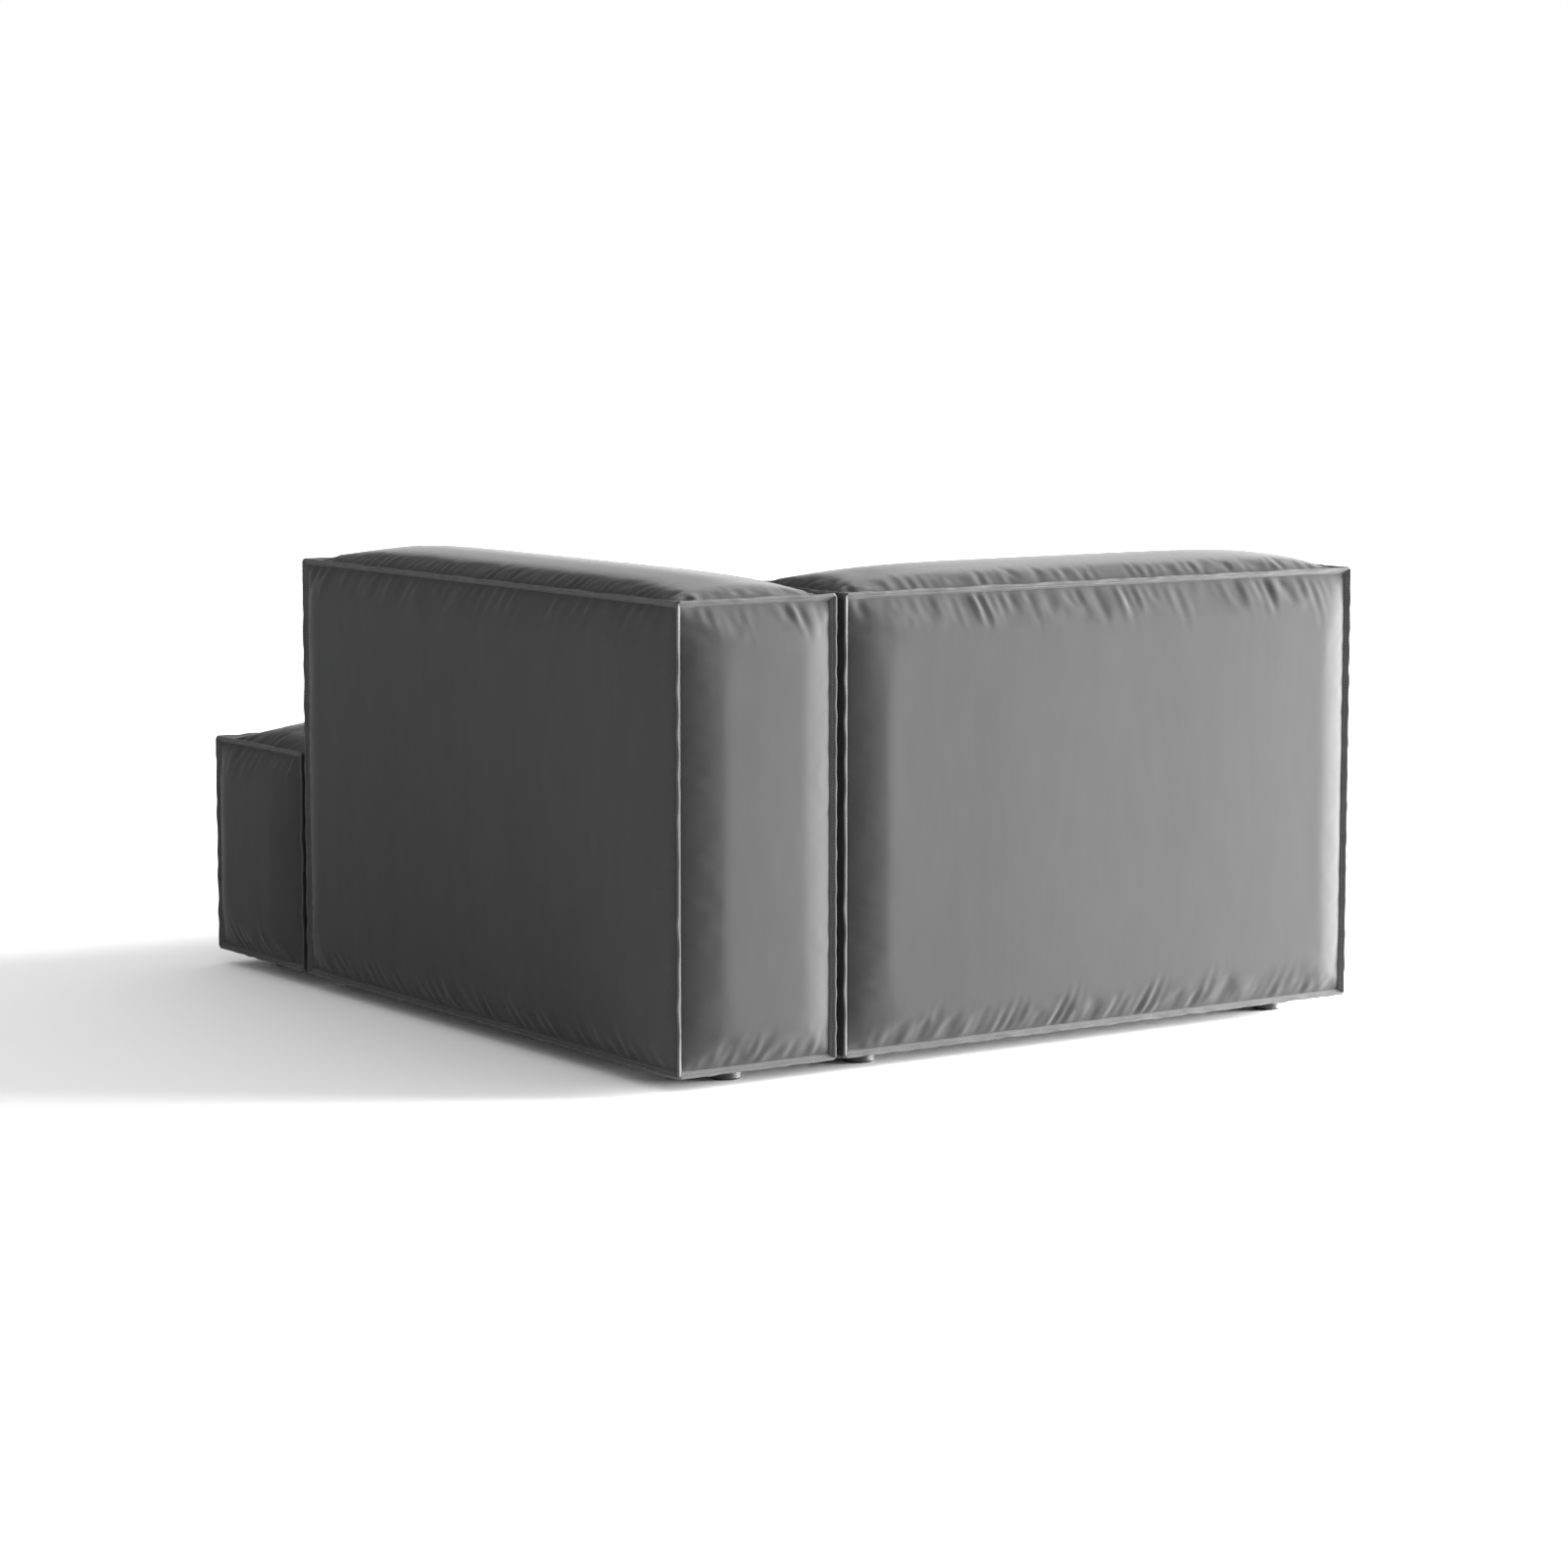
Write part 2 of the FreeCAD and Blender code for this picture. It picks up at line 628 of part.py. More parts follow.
def l_board(name, inset, z_low, z_high):
    """A flat L-shaped layer, inset from the seat's seams."""
    body = box(f"{name}_body", (f"{WEST} + {inset}", f"{SOUTH} + {inset}", z_low),
               (f"{BACK_EAST} - {inset}", f"{SEAT_NORTH} - {inset}", z_high))
    toe = box(f"{name}_toe", (f"{WEST} + {inset}", f"{SOUTH} + {inset}", z_low),
              (f"{EAST} - {inset}", f"{TOE_NORTH} - {inset}", z_high))
    return fuse(name, [body, toe])


seat_blocks = [
    ((WEST, SOUTH, BASE_Z), (BACK_EAST, SEAT_NORTH, SEAT_TOP),
     ("side_crown", PRESSED_CROWN, "side_crown", PRESSED_CROWN), ("seat_crown", "seat_rise")),
    ((WEST, SOUTH, BASE_Z), (EAST, TOE_NORTH, SEAT_TOP),
     ("side_crown", "side_crown", "side_crown", PRESSED_CROWN), ("seat_crown", "seat_rise")),
]
seat_skin, seat_lining, seat_filling = layers("seat", seat_blocks)
cut("seat_cover", seat_skin, [seat_lining, l_board("seat_cover_opening", "cover_return", BASE_Z, FRAME_Z)])
l_board("seat_dust_cover", "cover_return", BASE_Z, FRAME_Z)

RAIL_TOP = f"({FRAME_Z} + seat_rail_tall)"
FW, FE = f"({WEST} + frame_inset)", f"({BACK_EAST} - frame_inset)"
FS, FN = f"({SOUTH} + frame_inset)", f"({SEAT_NORTH} - frame_inset)"
TOE_E, TOE_N = f"({EAST} - frame_inset)", f"({TOE_NORTH} - frame_inset)"
RAIL = "rail_thick"
CENTRE_Y = f"(({FS} + {FN}) / 2)"


def rail(label, west, south, east, north):
    return seat_box(label, (west, south, FRAME_Z), (east, north, RAIL_TOP))


group("seat_rails", [
    rail("front_rail", FW, FS, TOE_E, f"{FS} + {RAIL}"),
    rail("toe_end_rail", f"{TOE_E} - {RAIL}", f"{FS} + {RAIL}", TOE_E, TOE_N),
    rail("toe_rear_rail", FE, f"{TOE_N} - {RAIL}", f"{TOE_E} - {RAIL}", TOE_N),
    rail("arm_side_rail", f"{FE} - {RAIL}", f"{FS} + {RAIL}", FE, f"{FN} - {RAIL}"),
    rail("rear_rail", FW, f"{FN} - {RAIL}", FE, FN),
    rail("open_end_rail", FW, f"{FS} + {RAIL}", f"{FW} + {RAIL}", f"{FN} - {RAIL}"),
])
rail("centre_rail", f"{FW} + {RAIL}", f"{CENTRE_Y} - {RAIL} / 2",
     f"{FE} - {RAIL}", f"{CENTRE_Y} + {RAIL} / 2")


def corner_block(number, x, y, quarter_turns):
    """A truncated triangular block glued into a corner of the frame."""
    block = put(doc.addObject("Part::Wedge", f"seat_corner_block_{number}"), (x, y, FRAME_Z),
                Rotation(Vector(0, 0, 1), 90 * quarter_turns))
    for low_edge in ("Xmin", "Ymin", "Zmin", "X2min", "Z2min"):
        setattr(block, low_edge, 0)
    high_edges = {"Xmax": "corner_leg", "Ymax": "corner_leg - corner_tip", "Zmax": "corner_tall",
                  "X2max": "corner_tip", "Z2max": "corner_tall"}
    for high_edge, text in high_edges.items():
        bind(block, high_edge, text)
    return block


group("seat_corner_blocks", [
    corner_block(0, f"{FW} + {RAIL}", f"{FS} + {RAIL}", 0),
    corner_block(1, f"{TOE_E} - {RAIL}", f"{FS} + {RAIL}", 1),
    corner_block(2, f"{FE} - {RAIL}", f"{FN} - {RAIL}", 2),
    corner_block(3, f"{FW} + {RAIL}", f"{FN} - {RAIL}", 3),
])
feet("seat", [
    (f"{WEST} + foot_inset", f"{SOUTH} + foot_inset"),
    (f"{EAST} - foot_inset", f"{SOUTH} + foot_inset"),
    (f"{BACK_EAST} - foot_inset", f"{SEAT_NORTH} - foot_inset"),
    (f"{WEST} + foot_inset", f"{SEAT_NORTH} - foot_inset"),
])


def zigzag_spring(name, run):
    """A flat zigzag spring, its first bar on the origin, running a given length along +Y.

    Straight bars along X are joined by half-circle loops; the number of loops is the one that
    comes nearest to the wanted pitch.
    """
    length = value(run)
    loops = 2 * round(length / value("loop_pitch") / 2)
    pitch = length / loops
    half = value("loop_straight") / 2
    edges = []
    for loop in range(loops + 1):
        side = 1 if loop % 2 == 0 else -1
        y = loop * pitch
        edges.append(Part.makeLine(Vector(-side * half, y, 0), Vector(side * half, y, 0)))
        if loop < loops:
            crest = Vector(side * (half + pitch / 2), y + pitch / 2, 0)
            loop_arc = Part.Arc(Vector(side * half, y, 0), crest, Vector(side * half, y + pitch, 0))
            edges.append(loop_arc.toShape())
    path = Part.Wire(edges)
    ring = Part.Wire([Part.makeCircle(value("wire_radius"), Vector(-half, 0, 0), Vector(1, 0, 0))])
    spring = doc.addObject("Part::Feature", name)
    spring.Shape = path.makePipeShell([ring], True, False)
    return spring


WIRE_Z = f"({RAIL_TOP} + wire_lift)"
SEAT_ON = "(rail_thick / 4)"
BANKS = {
    "front": (f"({FS} + {RAIL} - {SEAT_ON})", f"({CENTRE_Y} - {SEAT_ON})"),
    "rear": (f"({CENTRE_Y} + {SEAT_ON})", f"({FN} - {RAIL} + {SEAT_ON})"),
}
spring = zigzag_spring("spring_pattern", f"{BANKS['front'][1]} - {BANKS['front'][0]}")
rows = int(value("spring_rows"))
ROW_SPREAD = f"({FE} - {FW} - 2 * spring_side_margin)"
row_places = [f"({FW} + spring_side_margin + {ROW_SPREAD} * {row} / (spring_rows - 1))"
              for row in range(rows)]
copies("seat_springs", spring,
       [((x, start, WIRE_Z), UPRIGHT) for x in row_places for start, _ in BANKS.values()])

clip = cut("clip_pattern",
           box("clip_blank", ("-clip_wide / 2", "-clip_deep / 2", "0"),
               ("clip_wide / 2", "clip_deep / 2", "wire_lift + wire_radius + clip_roof")),
           [cylinder("clip_channel", ("-clip_wide", "0", "wire_lift"), "wire_radius + clip_clearance",
                     "2 * clip_wide", Rotation(Vector(0, 1, 0), 90))])
copies("seat_spring_clips", clip,
       [((x, y, RAIL_TOP), UPRIGHT) for x in row_places for bank in BANKS.values() for y in bank])

TIE_Z = f"({WIRE_Z} + wire_radius + tie_radius + tie_clearance)"
group("seat_tie_wires", [
    cylinder(f"tie_wire_{bank}", (FW, f"({start} + {stop}) / 2", TIE_Z), "tie_radius", f"{FE} - {FW}",
             Rotation(Vector(0, 1, 0), 90))
    for bank, (start, stop) in BANKS.items()
])

PAD_Z = f"({TIE_Z} + tie_radius + tie_clearance)"
CORE_Z = f"({PAD_Z} + pad_thick)"
CORE_TOP = f"({CORE_Z} + core_thick)"
seat_box("toe_deck", (FE, FS, RAIL_TOP), (TOE_E, TOE_N, PAD_Z))
l_board("seat_spring_pad", "frame_inset", PAD_Z, CORE_Z)
l_board("seat_core_foam", "frame_inset", CORE_Z, CORE_TOP)


def seat_slab(name, regions):
    """The parts of the seat's filling that fall in the given boxes."""
    return [common(f"{name}_{number}", [seat_filling, box(f"{name}_region_{number}", *region)])
            for number, region in enumerate(regions)]


OUT = "2 * side_crown"
FAR_W, FAR_S = f"{WEST} - {OUT}", f"{SOUTH} - {OUT}"
FAR_E, FAR_N = f"{EAST} + {OUT}", f"{SEAT_NORTH} + {OUT}"
MID_GAP = f"({BACK_EAST} + {ROOT_GAP} / 2)"
(top_foam,) = seat_slab("seat_top_slab", [
    ((FAR_W, FAR_S, CORE_TOP), (FAR_E, FAR_N, f"{SEAT_TOP} + 2 * seat_crown")),
])
top_foam.Label = "seat_top_foam"
group("seat_side_foam", seat_slab("seat_side_slab", [
    ((FAR_W, FAR_S, "0"), (FAR_E, FS, CORE_TOP)),
    ((TOE_E, FS, "0"), (FAR_E, TOE_N, CORE_TOP)),
    ((MID_GAP, TOE_N, "0"), (FAR_E, f"{TOE_NORTH} + {ROOT_GAP}", CORE_TOP)),
    ((FE, TOE_N, "0"), (MID_GAP, FN, CORE_TOP)),
    ((FW, FN, "0"), (f"{BACK_EAST} + {ROOT_GAP}", FAR_N, CORE_TOP)),
    ((FAR_W, FS, "0"), (FW, FAR_N, CORE_TOP)),
]))
seams("seat_seam_flanges", [
    ((WEST, SOUTH), (-1, -1), OUTER), ((EAST, SOUTH), (1, -1), OUTER), ((EAST, TOE_NORTH), (1, 1), OUTER),
    ((BACK_EAST, TOE_NORTH), (1, 1), INNER), ((BACK_EAST, SEAT_NORTH), (1, 1), OUTER),
    ((WEST, SEAT_NORTH), (-1, 1), OUTER),
], BASE_Z, SEAT_TOP)


# ---------------------------------------------------------------- check and write

UPRIGHT_PARTS = ["bottom_frame", "top_frame", "posts", "end_boards", "top_board", "top_foam", "side_foam",
                 "end_foam", "cover", "dust_cover", "seam_flanges", "connector_plates", "connector_screws",
                 "feet", "foot_screws"]
SEAT_PARTS = ["rails", "centre_rail", "corner_blocks", "springs", "spring_clips", "tie_wires", "toe_deck",
              "spring_pad", "core_foam", "side_foam", "top_foam", "cover", "dust_cover", "seam_flanges",
              "connector_plates", "connector_screws", "feet", "foot_screws"]
NODES = ([f"seat_{part}" for part in SEAT_PARTS]
         + [f"arm_{part}" for part in UPRIGHT_PARTS + ["side_boards"]]
         + [f"back_{part}" for part in UPRIGHT_PARTS + ["rear_board", "webbing"]])

doc.recompute()
for item in doc.Objects:
    if "Invalid" in item.State or "Error" in item.State:
        raise RuntimeError(f"{item.Label} failed: {item.State}")
os.makedirs("parts", exist_ok=True)
for node in NODES:
    (item,) = doc.getObjectsByLabel(node)
    if item.Shape.isNull() or not item.Shape.isValid():
        raise RuntimeError(f"{node} has no valid shape")
    item.Shape.exportStep(f"parts/{node}.step")
    solids = item.Shape.Solids
    print(f"{node}: {len(solids)} solids, {sum(solid.Volume for solid in solids) / 1e6:.3f} litres")
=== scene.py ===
"""The looks of the modular daybed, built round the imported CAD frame.

Metres, in the CAD's frame: +X is the arm's side, -Y the front, +Y the rear and +Z up.
Each module's velvet cover is a grid of flat panels, padded, gathered by a cloth simulation that is
pinned at the seams, and edged with flanged seams.
"""

import math

import bpy
import numpy as np
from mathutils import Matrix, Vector


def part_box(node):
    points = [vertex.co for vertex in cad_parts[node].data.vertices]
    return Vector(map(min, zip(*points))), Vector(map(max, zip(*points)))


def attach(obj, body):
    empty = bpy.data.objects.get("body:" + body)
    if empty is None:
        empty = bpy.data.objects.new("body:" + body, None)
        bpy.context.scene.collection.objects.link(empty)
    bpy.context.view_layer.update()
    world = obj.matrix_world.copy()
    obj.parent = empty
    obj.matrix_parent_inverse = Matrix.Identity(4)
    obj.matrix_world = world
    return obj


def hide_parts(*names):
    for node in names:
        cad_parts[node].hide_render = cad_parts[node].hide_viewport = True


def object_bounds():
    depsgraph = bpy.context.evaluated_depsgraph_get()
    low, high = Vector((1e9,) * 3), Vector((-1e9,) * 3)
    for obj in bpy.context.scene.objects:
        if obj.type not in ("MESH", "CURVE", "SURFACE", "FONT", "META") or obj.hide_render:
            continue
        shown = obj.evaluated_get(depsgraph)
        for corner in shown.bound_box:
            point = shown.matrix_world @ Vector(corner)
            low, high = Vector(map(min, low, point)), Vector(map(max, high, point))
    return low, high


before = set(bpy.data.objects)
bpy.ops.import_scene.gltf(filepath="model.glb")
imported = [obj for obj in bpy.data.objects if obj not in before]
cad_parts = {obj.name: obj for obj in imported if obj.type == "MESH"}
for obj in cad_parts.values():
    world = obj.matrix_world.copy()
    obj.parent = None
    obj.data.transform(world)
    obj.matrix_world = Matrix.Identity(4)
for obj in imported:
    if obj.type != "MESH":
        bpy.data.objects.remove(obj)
cad_low, cad_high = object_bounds()

X, Y, Z = 0, 1, 2
UP = Vector((0, 0, 1))

# the flanged seams: reach and thickness are the CAD's
FLANGE_REACH = 0.007
FLANGE_THICK = 0.004
FLANGE_TIP = FLANGE_REACH + FLANGE_THICK / math.sqrt(8)
FLANGE_ROUND = 0.006
FLANGE_ROOT = -0.0015
FLANGE_STEP = 0.004
FLANGE_SWAY = 0.0008
FLANGE_RIM_WANDER = 0.0004
FLANGE_STILL_END = 0.004
FLANGE_FADE = 0.03
STITCH_PITCH = 0.005
STITCH_LONG = 0.0034
STITCH_RADIUS = 0.0004
STITCH_CROWN = 1.4
STITCH_MARGIN = 0.012

# padding: how far the panels stand out from their seams, and over what distance they rise
SIDE_CROWN = 0.027
SIDE_RISE = 0.095
SIDE_POWER = 3.2
SIDE_DOME = 0.16
TOP_CROWN = 0.035
SEAT_CROWN = 0.043
SEAT_RISE = 0.200
PRESSED_CROWN = FLANGE_TIP
MODULE_GAP = 0.014
ROOT_GAP = MODULE_GAP + 2 * FLANGE_REACH
CLEARANCE = 0.0005
FACING_CROWN = ROOT_GAP - FLANGE_TIP - CLEARANCE
# a top's rounding: the powers across and along it, and of the whole
TOP_ACROSS, TOP_ALONG, TOP_ROUND = 1.8, 5.6, 0.63
# the higher, the closer a panel of several rectangles is to the highest of their domes
PANEL_JOIN = 8

# the cloth simulation that gathers the covers
GRID_PITCH = 0.008
SLACK = 0.050
SLACK_DEPTH, SLACK_DEPTH_SPREAD = 0.048, 0.022
SLACK_LEVEL, SLACK_LEVEL_SPREAD = 0.75, 0.45
SLACK_UPRIGHT = 0.25
FRAMES = 18
PRESSURE = 2.0
HOLD_FROM = 0.050
HOLD_FULL = 0.190
# stands for "no seam that way"
FAR = 9

# how far the gathers may move, stand proud and dip, and how they lean along the seams
MOVE_CAP = 0.008
PROUD_CAP = 0.0025
FACING_PROUD_CAP = 0.0003
DENT_CAP = 0.0008
PROUD_FROM = 0.020
PROUD_BAND = 0.070
LEAN = 0.18
LEAN_BAND = 0.055
LEAN_FADE_FROM, LEAN_FADE_BAND = 0.06, 0.12
LEAN_END_FROM, LEAN_END_BAND = 0.01, 0.09

# the fine puckers at the seams, smaller than the simulated grid can hold
PUCKER = 0.0011
PUCKER_UPRIGHT = 0.0004
PUCKER_START = 0.012
PUCKER_REACH = 0.045
PUCKER_LEAST_REACH = 0.010
PUCKER_LEAN = 0.25
PUCKER_END = 0.03
PUCKER_SHORTEST, PUCKER_LONGEST, PUCKER_WAVES = 0.016, 0.030, 6

# added to a place along a seam, so that the opposite seam gets waves of its own
OTHER_SEAM = 3

# under the modules, and the connector pins' places from the ends of their plates
HEM = 0.050
DUST_RECESS = 0.001
DUST_PITCH = 0.012
DUST_THICK = 0.0006
DUST_HOLLOW = 0.0008
PIN_FROM_END = 0.055
PIN_HOLE_RADIUS = 0.009

# the fillings
FOAM_VOXEL = 0.014
FELT_VOXEL = 0.006
FILLING_MARGIN = 0.011
FILLING_ROUNDING = 4

# the back's webbing straps
STRAP_BOW = 0.003
STRAP_THICK = 0.0018
STRAP_ROWS, STRAP_COLUMNS = 40, 6
SKIN_GAP = 0.0002


def smooth(share):
    share = np.clip(share, 0, 1)
    return share * share * (3 - 2 * share)


def waves(seed, along, shortest, longest, count=5):
    """A line that wanders smoothly, mostly between -1 and 1, and is the same on every run."""
    rng = np.random.default_rng(seed)
    total = np.zeros(np.shape(along))
    for _ in range(count):
        length = rng.uniform(shortest, longest)
        phase = rng.uniform(0, 2 * math.pi)
        total = total + np.sin(2 * math.pi * np.asarray(along) / length + phase)
    return total / math.sqrt(count)


def new_object(name, points, faces, material=None):
    mesh = bpy.data.meshes.new(name)
    mesh.from_pydata(np.asarray(points).tolist(), [], [list(map(int, face)) for face in faces])
    mesh.update()
    mesh.shade_smooth()
    item = bpy.data.objects.new(name, mesh)
    bpy.context.scene.collection.objects.link(item)
    if material:
        mesh.materials.append(material)
    return item


def mesh_points(mesh):
    points = np.zeros(len(mesh.vertices) * 3, np.float32)
    mesh.vertices.foreach_get("co", points)
    return points.reshape(-1, 3)


def set_mesh_points(mesh, points):
    mesh.vertices.foreach_set("co", points.astype(np.float32).ravel())


def bake_modifiers(item):
    """Keeps the shape that the modifiers give, and leaves none of them on the piece."""
    graph = bpy.context.evaluated_depsgraph_get()
    shaped = bpy.data.meshes.new_from_object(item.evaluated_get(graph), depsgraph=graph)
    item.modifiers.clear()
    item.data = shaped
    return item


# ---------------------------------------------------------------- materials

def surface(name, **values):
    """A Principled material with its uniform values set on the shader's own sockets."""
    material = bpy.data.materials.new(name)
    material.use_nodes = True
    shader = material.node_tree.nodes["Principled BSDF"]
    for socket, value in values.items():
        shader.inputs[socket.replace("_", " ").title().replace("Ior", "IOR")].default_value = value
    return material


def texture(material, kind, scale, stretch=(1, 1, 1), **settings):
    """A procedural texture in the object's own metres, stretched along its axes."""
    nodes, links = material.node_tree.nodes, material.node_tree.links
    place = nodes.new("ShaderNodeTexCoord")
    mapping = nodes.new("ShaderNodeMapping")
    mapping.inputs["Scale"].default_value = [scale * part for part in stretch]
    made = nodes.new(kind)
    links.new(place.outputs["Object"], mapping.inputs["Vector"])
    links.new(mapping.outputs["Vector"], made.inputs["Vector"])
    made.inputs["Scale"].default_value = 1
    for socket, value in settings.items():
        made.inputs[socket].default_value = value
    return made.outputs[0]


def colour_by(material, factors, dark, light):
    """Base colour between two greys or browns, by the average of some textures."""
    nodes, links = material.node_tree.nodes, material.node_tree.links
    level = factors[0]
    for other in factors[1:]:
        mix = nodes.new("ShaderNodeMath")
        mix.operation = "ADD"
        links.new(level, mix.inputs[0])
        links.new(other, mix.inputs[1])
        level = mix.outputs[0]
    spread = nodes.new("ShaderNodeMapRange")
    count = len(factors)
    spread.inputs["From Min"].default_value = 0.3 * count
    spread.inputs["From Max"].default_value = 0.7 * count
    links.new(level, spread.inputs["Value"])
    blend = nodes.new("ShaderNodeMix")
    blend.data_type = "RGBA"
    blend.inputs[6].default_value = (*dark, 1)
    blend.inputs[7].default_value = (*light, 1)
    links.new(spread.outputs["Result"], blend.inputs["Factor"])
    links.new(blend.outputs[2], nodes["Principled BSDF"].inputs["Base Color"])


def bumps(material, layers):
    """Stacks bump layers, each a texture, a strength and a depth in metres."""
    nodes, links = material.node_tree.nodes, material.node_tree.links
    normal = None
    for height, strength, depth in layers:
        bump = nodes.new("ShaderNodeBump")
        bump.inputs["Strength"].default_value = strength
        bump.inputs["Distance"].default_value = depth
        links.new(height, bump.inputs["Height"])
        if normal:
            links.new(normal, bump.inputs["Normal"])
        normal = bump.outputs["Normal"]
    links.new(normal, nodes["Principled BSDF"].inputs["Normal"])


def velvet(name, dark, light, streak=(1, 1, 0.25)):
    """Short upholstery pile: dark straight on, brighter where it is seen edge on."""
    made = surface(name, roughness=0.9, sheen_weight=0.13, sheen_roughness=0.35,
                   sheen_tint=(0.86, 0.86, 0.86, 1), specular_ior_level=0.06)
    brushed = texture(made, "ShaderNodeTexNoise", 9, streak, Detail=3)
    mottle = texture(made, "ShaderNodeTexNoise", 45, streak, Detail=4)
    pile = texture(made, "ShaderNodeTexNoise", 1400, Detail=2)
    colour_by(made, [brushed, mottle, pile], dark, light)
    weave = texture(made, "ShaderNodeTexVoronoi", 900)
    bumps(made, [(mottle, 0.12, 0.002), (pile, 0.25, 0.0004), (weave, 0.12, 0.0003)])
    return made


def grained(name, dark, light, stretch, scale=22, **values):
    """Wood or board: bands along the grain and fine pores."""
    made = surface(name, **values)
    rings = texture(made, "ShaderNodeTexNoise", scale, stretch, Detail=6, Distortion=1.2)
    pores = texture(made, "ShaderNodeTexNoise", scale * 14, stretch, Detail=2)
    colour_by(made, [rings, pores], dark, light)
    bumps(made, [(rings, 0.15, 0.001), (pores, 0.25, 0.0003)])
    return made


def fibrous(name, dark, light, scale, **values):
    """Foam, felt or spunbonded cloth: fine cells or fibres."""
    made = surface(name, **values)
    cloudy = texture(made, "ShaderNodeTexNoise", scale / 12, Detail=3)
    cells = texture(made, "ShaderNodeTexVoronoi", scale)
    colour_by(made, [cloudy, cells], dark, light)
    bumps(made, [(cells, 0.3, 0.0005)])
    return made


def metal(name, dark, light, roughness):
    made = surface(name, metallic=1.0, roughness=roughness)
    drawn = texture(made, "ShaderNodeTexNoise", 260, (1, 1, 0.2), Detail=4)
    colour_by(made, [drawn], dark, light)
    bumps(made, [(drawn, 0.08, 0.0003)])
    return made


VELVET = velvet("grey_velvet", (0.0330, 0.0330, 0.0335), (0.0415, 0.0415, 0.042))
# the seams' velvet is the cover's own velvet made about half again lighter: a painted highlight
# standing in for the bright lines that the flanges' rims catch
SEAM_VELVET_PAINTED_HIGHLIGHT = velvet("grey_velvet_seams", (0.052, 0.052, 0.0525), (0.068, 0.068, 0.0685), (1, 1, 1))
THREAD = fibrous("seam_thread", (0.05, 0.05, 0.05), (0.10, 0.10, 0.10), 2500, roughness=0.6,
                 sheen_weight=0.3)
FOAM = fibrous("seat_foam", (0.62, 0.56, 0.40), (0.80, 0.74, 0.56), 700, roughness=0.95)
FELT = fibrous("spring_felt", (0.20, 0.21, 0.23), (0.36, 0.36, 0.38), 500, roughness=1.0)
DUST_CLOTH = fibrous("dust_cloth", (0.012, 0.012, 0.013), (0.028, 0.028, 0.030), 900,
                     roughness=0.95)
WEBBING = fibrous("strap_webbing", (0.10, 0.10, 0.11), (0.20, 0.19, 0.17), 600, roughness=0.85)
FINISHES = {
    "timber": grained("pine_timber", (0.42, 0.27, 0.13), (0.66, 0.48, 0.28), (1, 1, 0.12),
                      roughness=0.6),
    "plywood": grained("plywood_board", (0.45, 0.30, 0.16), (0.62, 0.46, 0.28), (0.15, 1, 1),
                       roughness=0.55),
    "hardboard": grained("hardboard_sheet", (0.16, 0.09, 0.05), (0.26, 0.16, 0.09), (1, 1, 1), 60,
                         roughness=0.7),
    "foot_plastic": fibrous("foot_plastic", (0.010, 0.010, 0.011), (0.020, 0.020, 0.021), 1200,
                            roughness=0.45),
    "spring_steel": metal("oiled_spring_steel", (0.18, 0.18, 0.19), (0.36, 0.36, 0.37), 0.38),
    "zinc_steel": metal("zinc_plated_steel", (0.48, 0.49, 0.50), (0.70, 0.71, 0.72), 0.32),
    "velvet": VELVET,
    "foam": FOAM,
    "felt": FELT,
    "dust_cloth": DUST_CLOTH,
    "webbing": WEBBING,
}
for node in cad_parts.values():
    for place in node.material_slots:
        place.material = FINISHES[place.material.name]


# ---------------------------------------------------------------- the modules' sewn covers

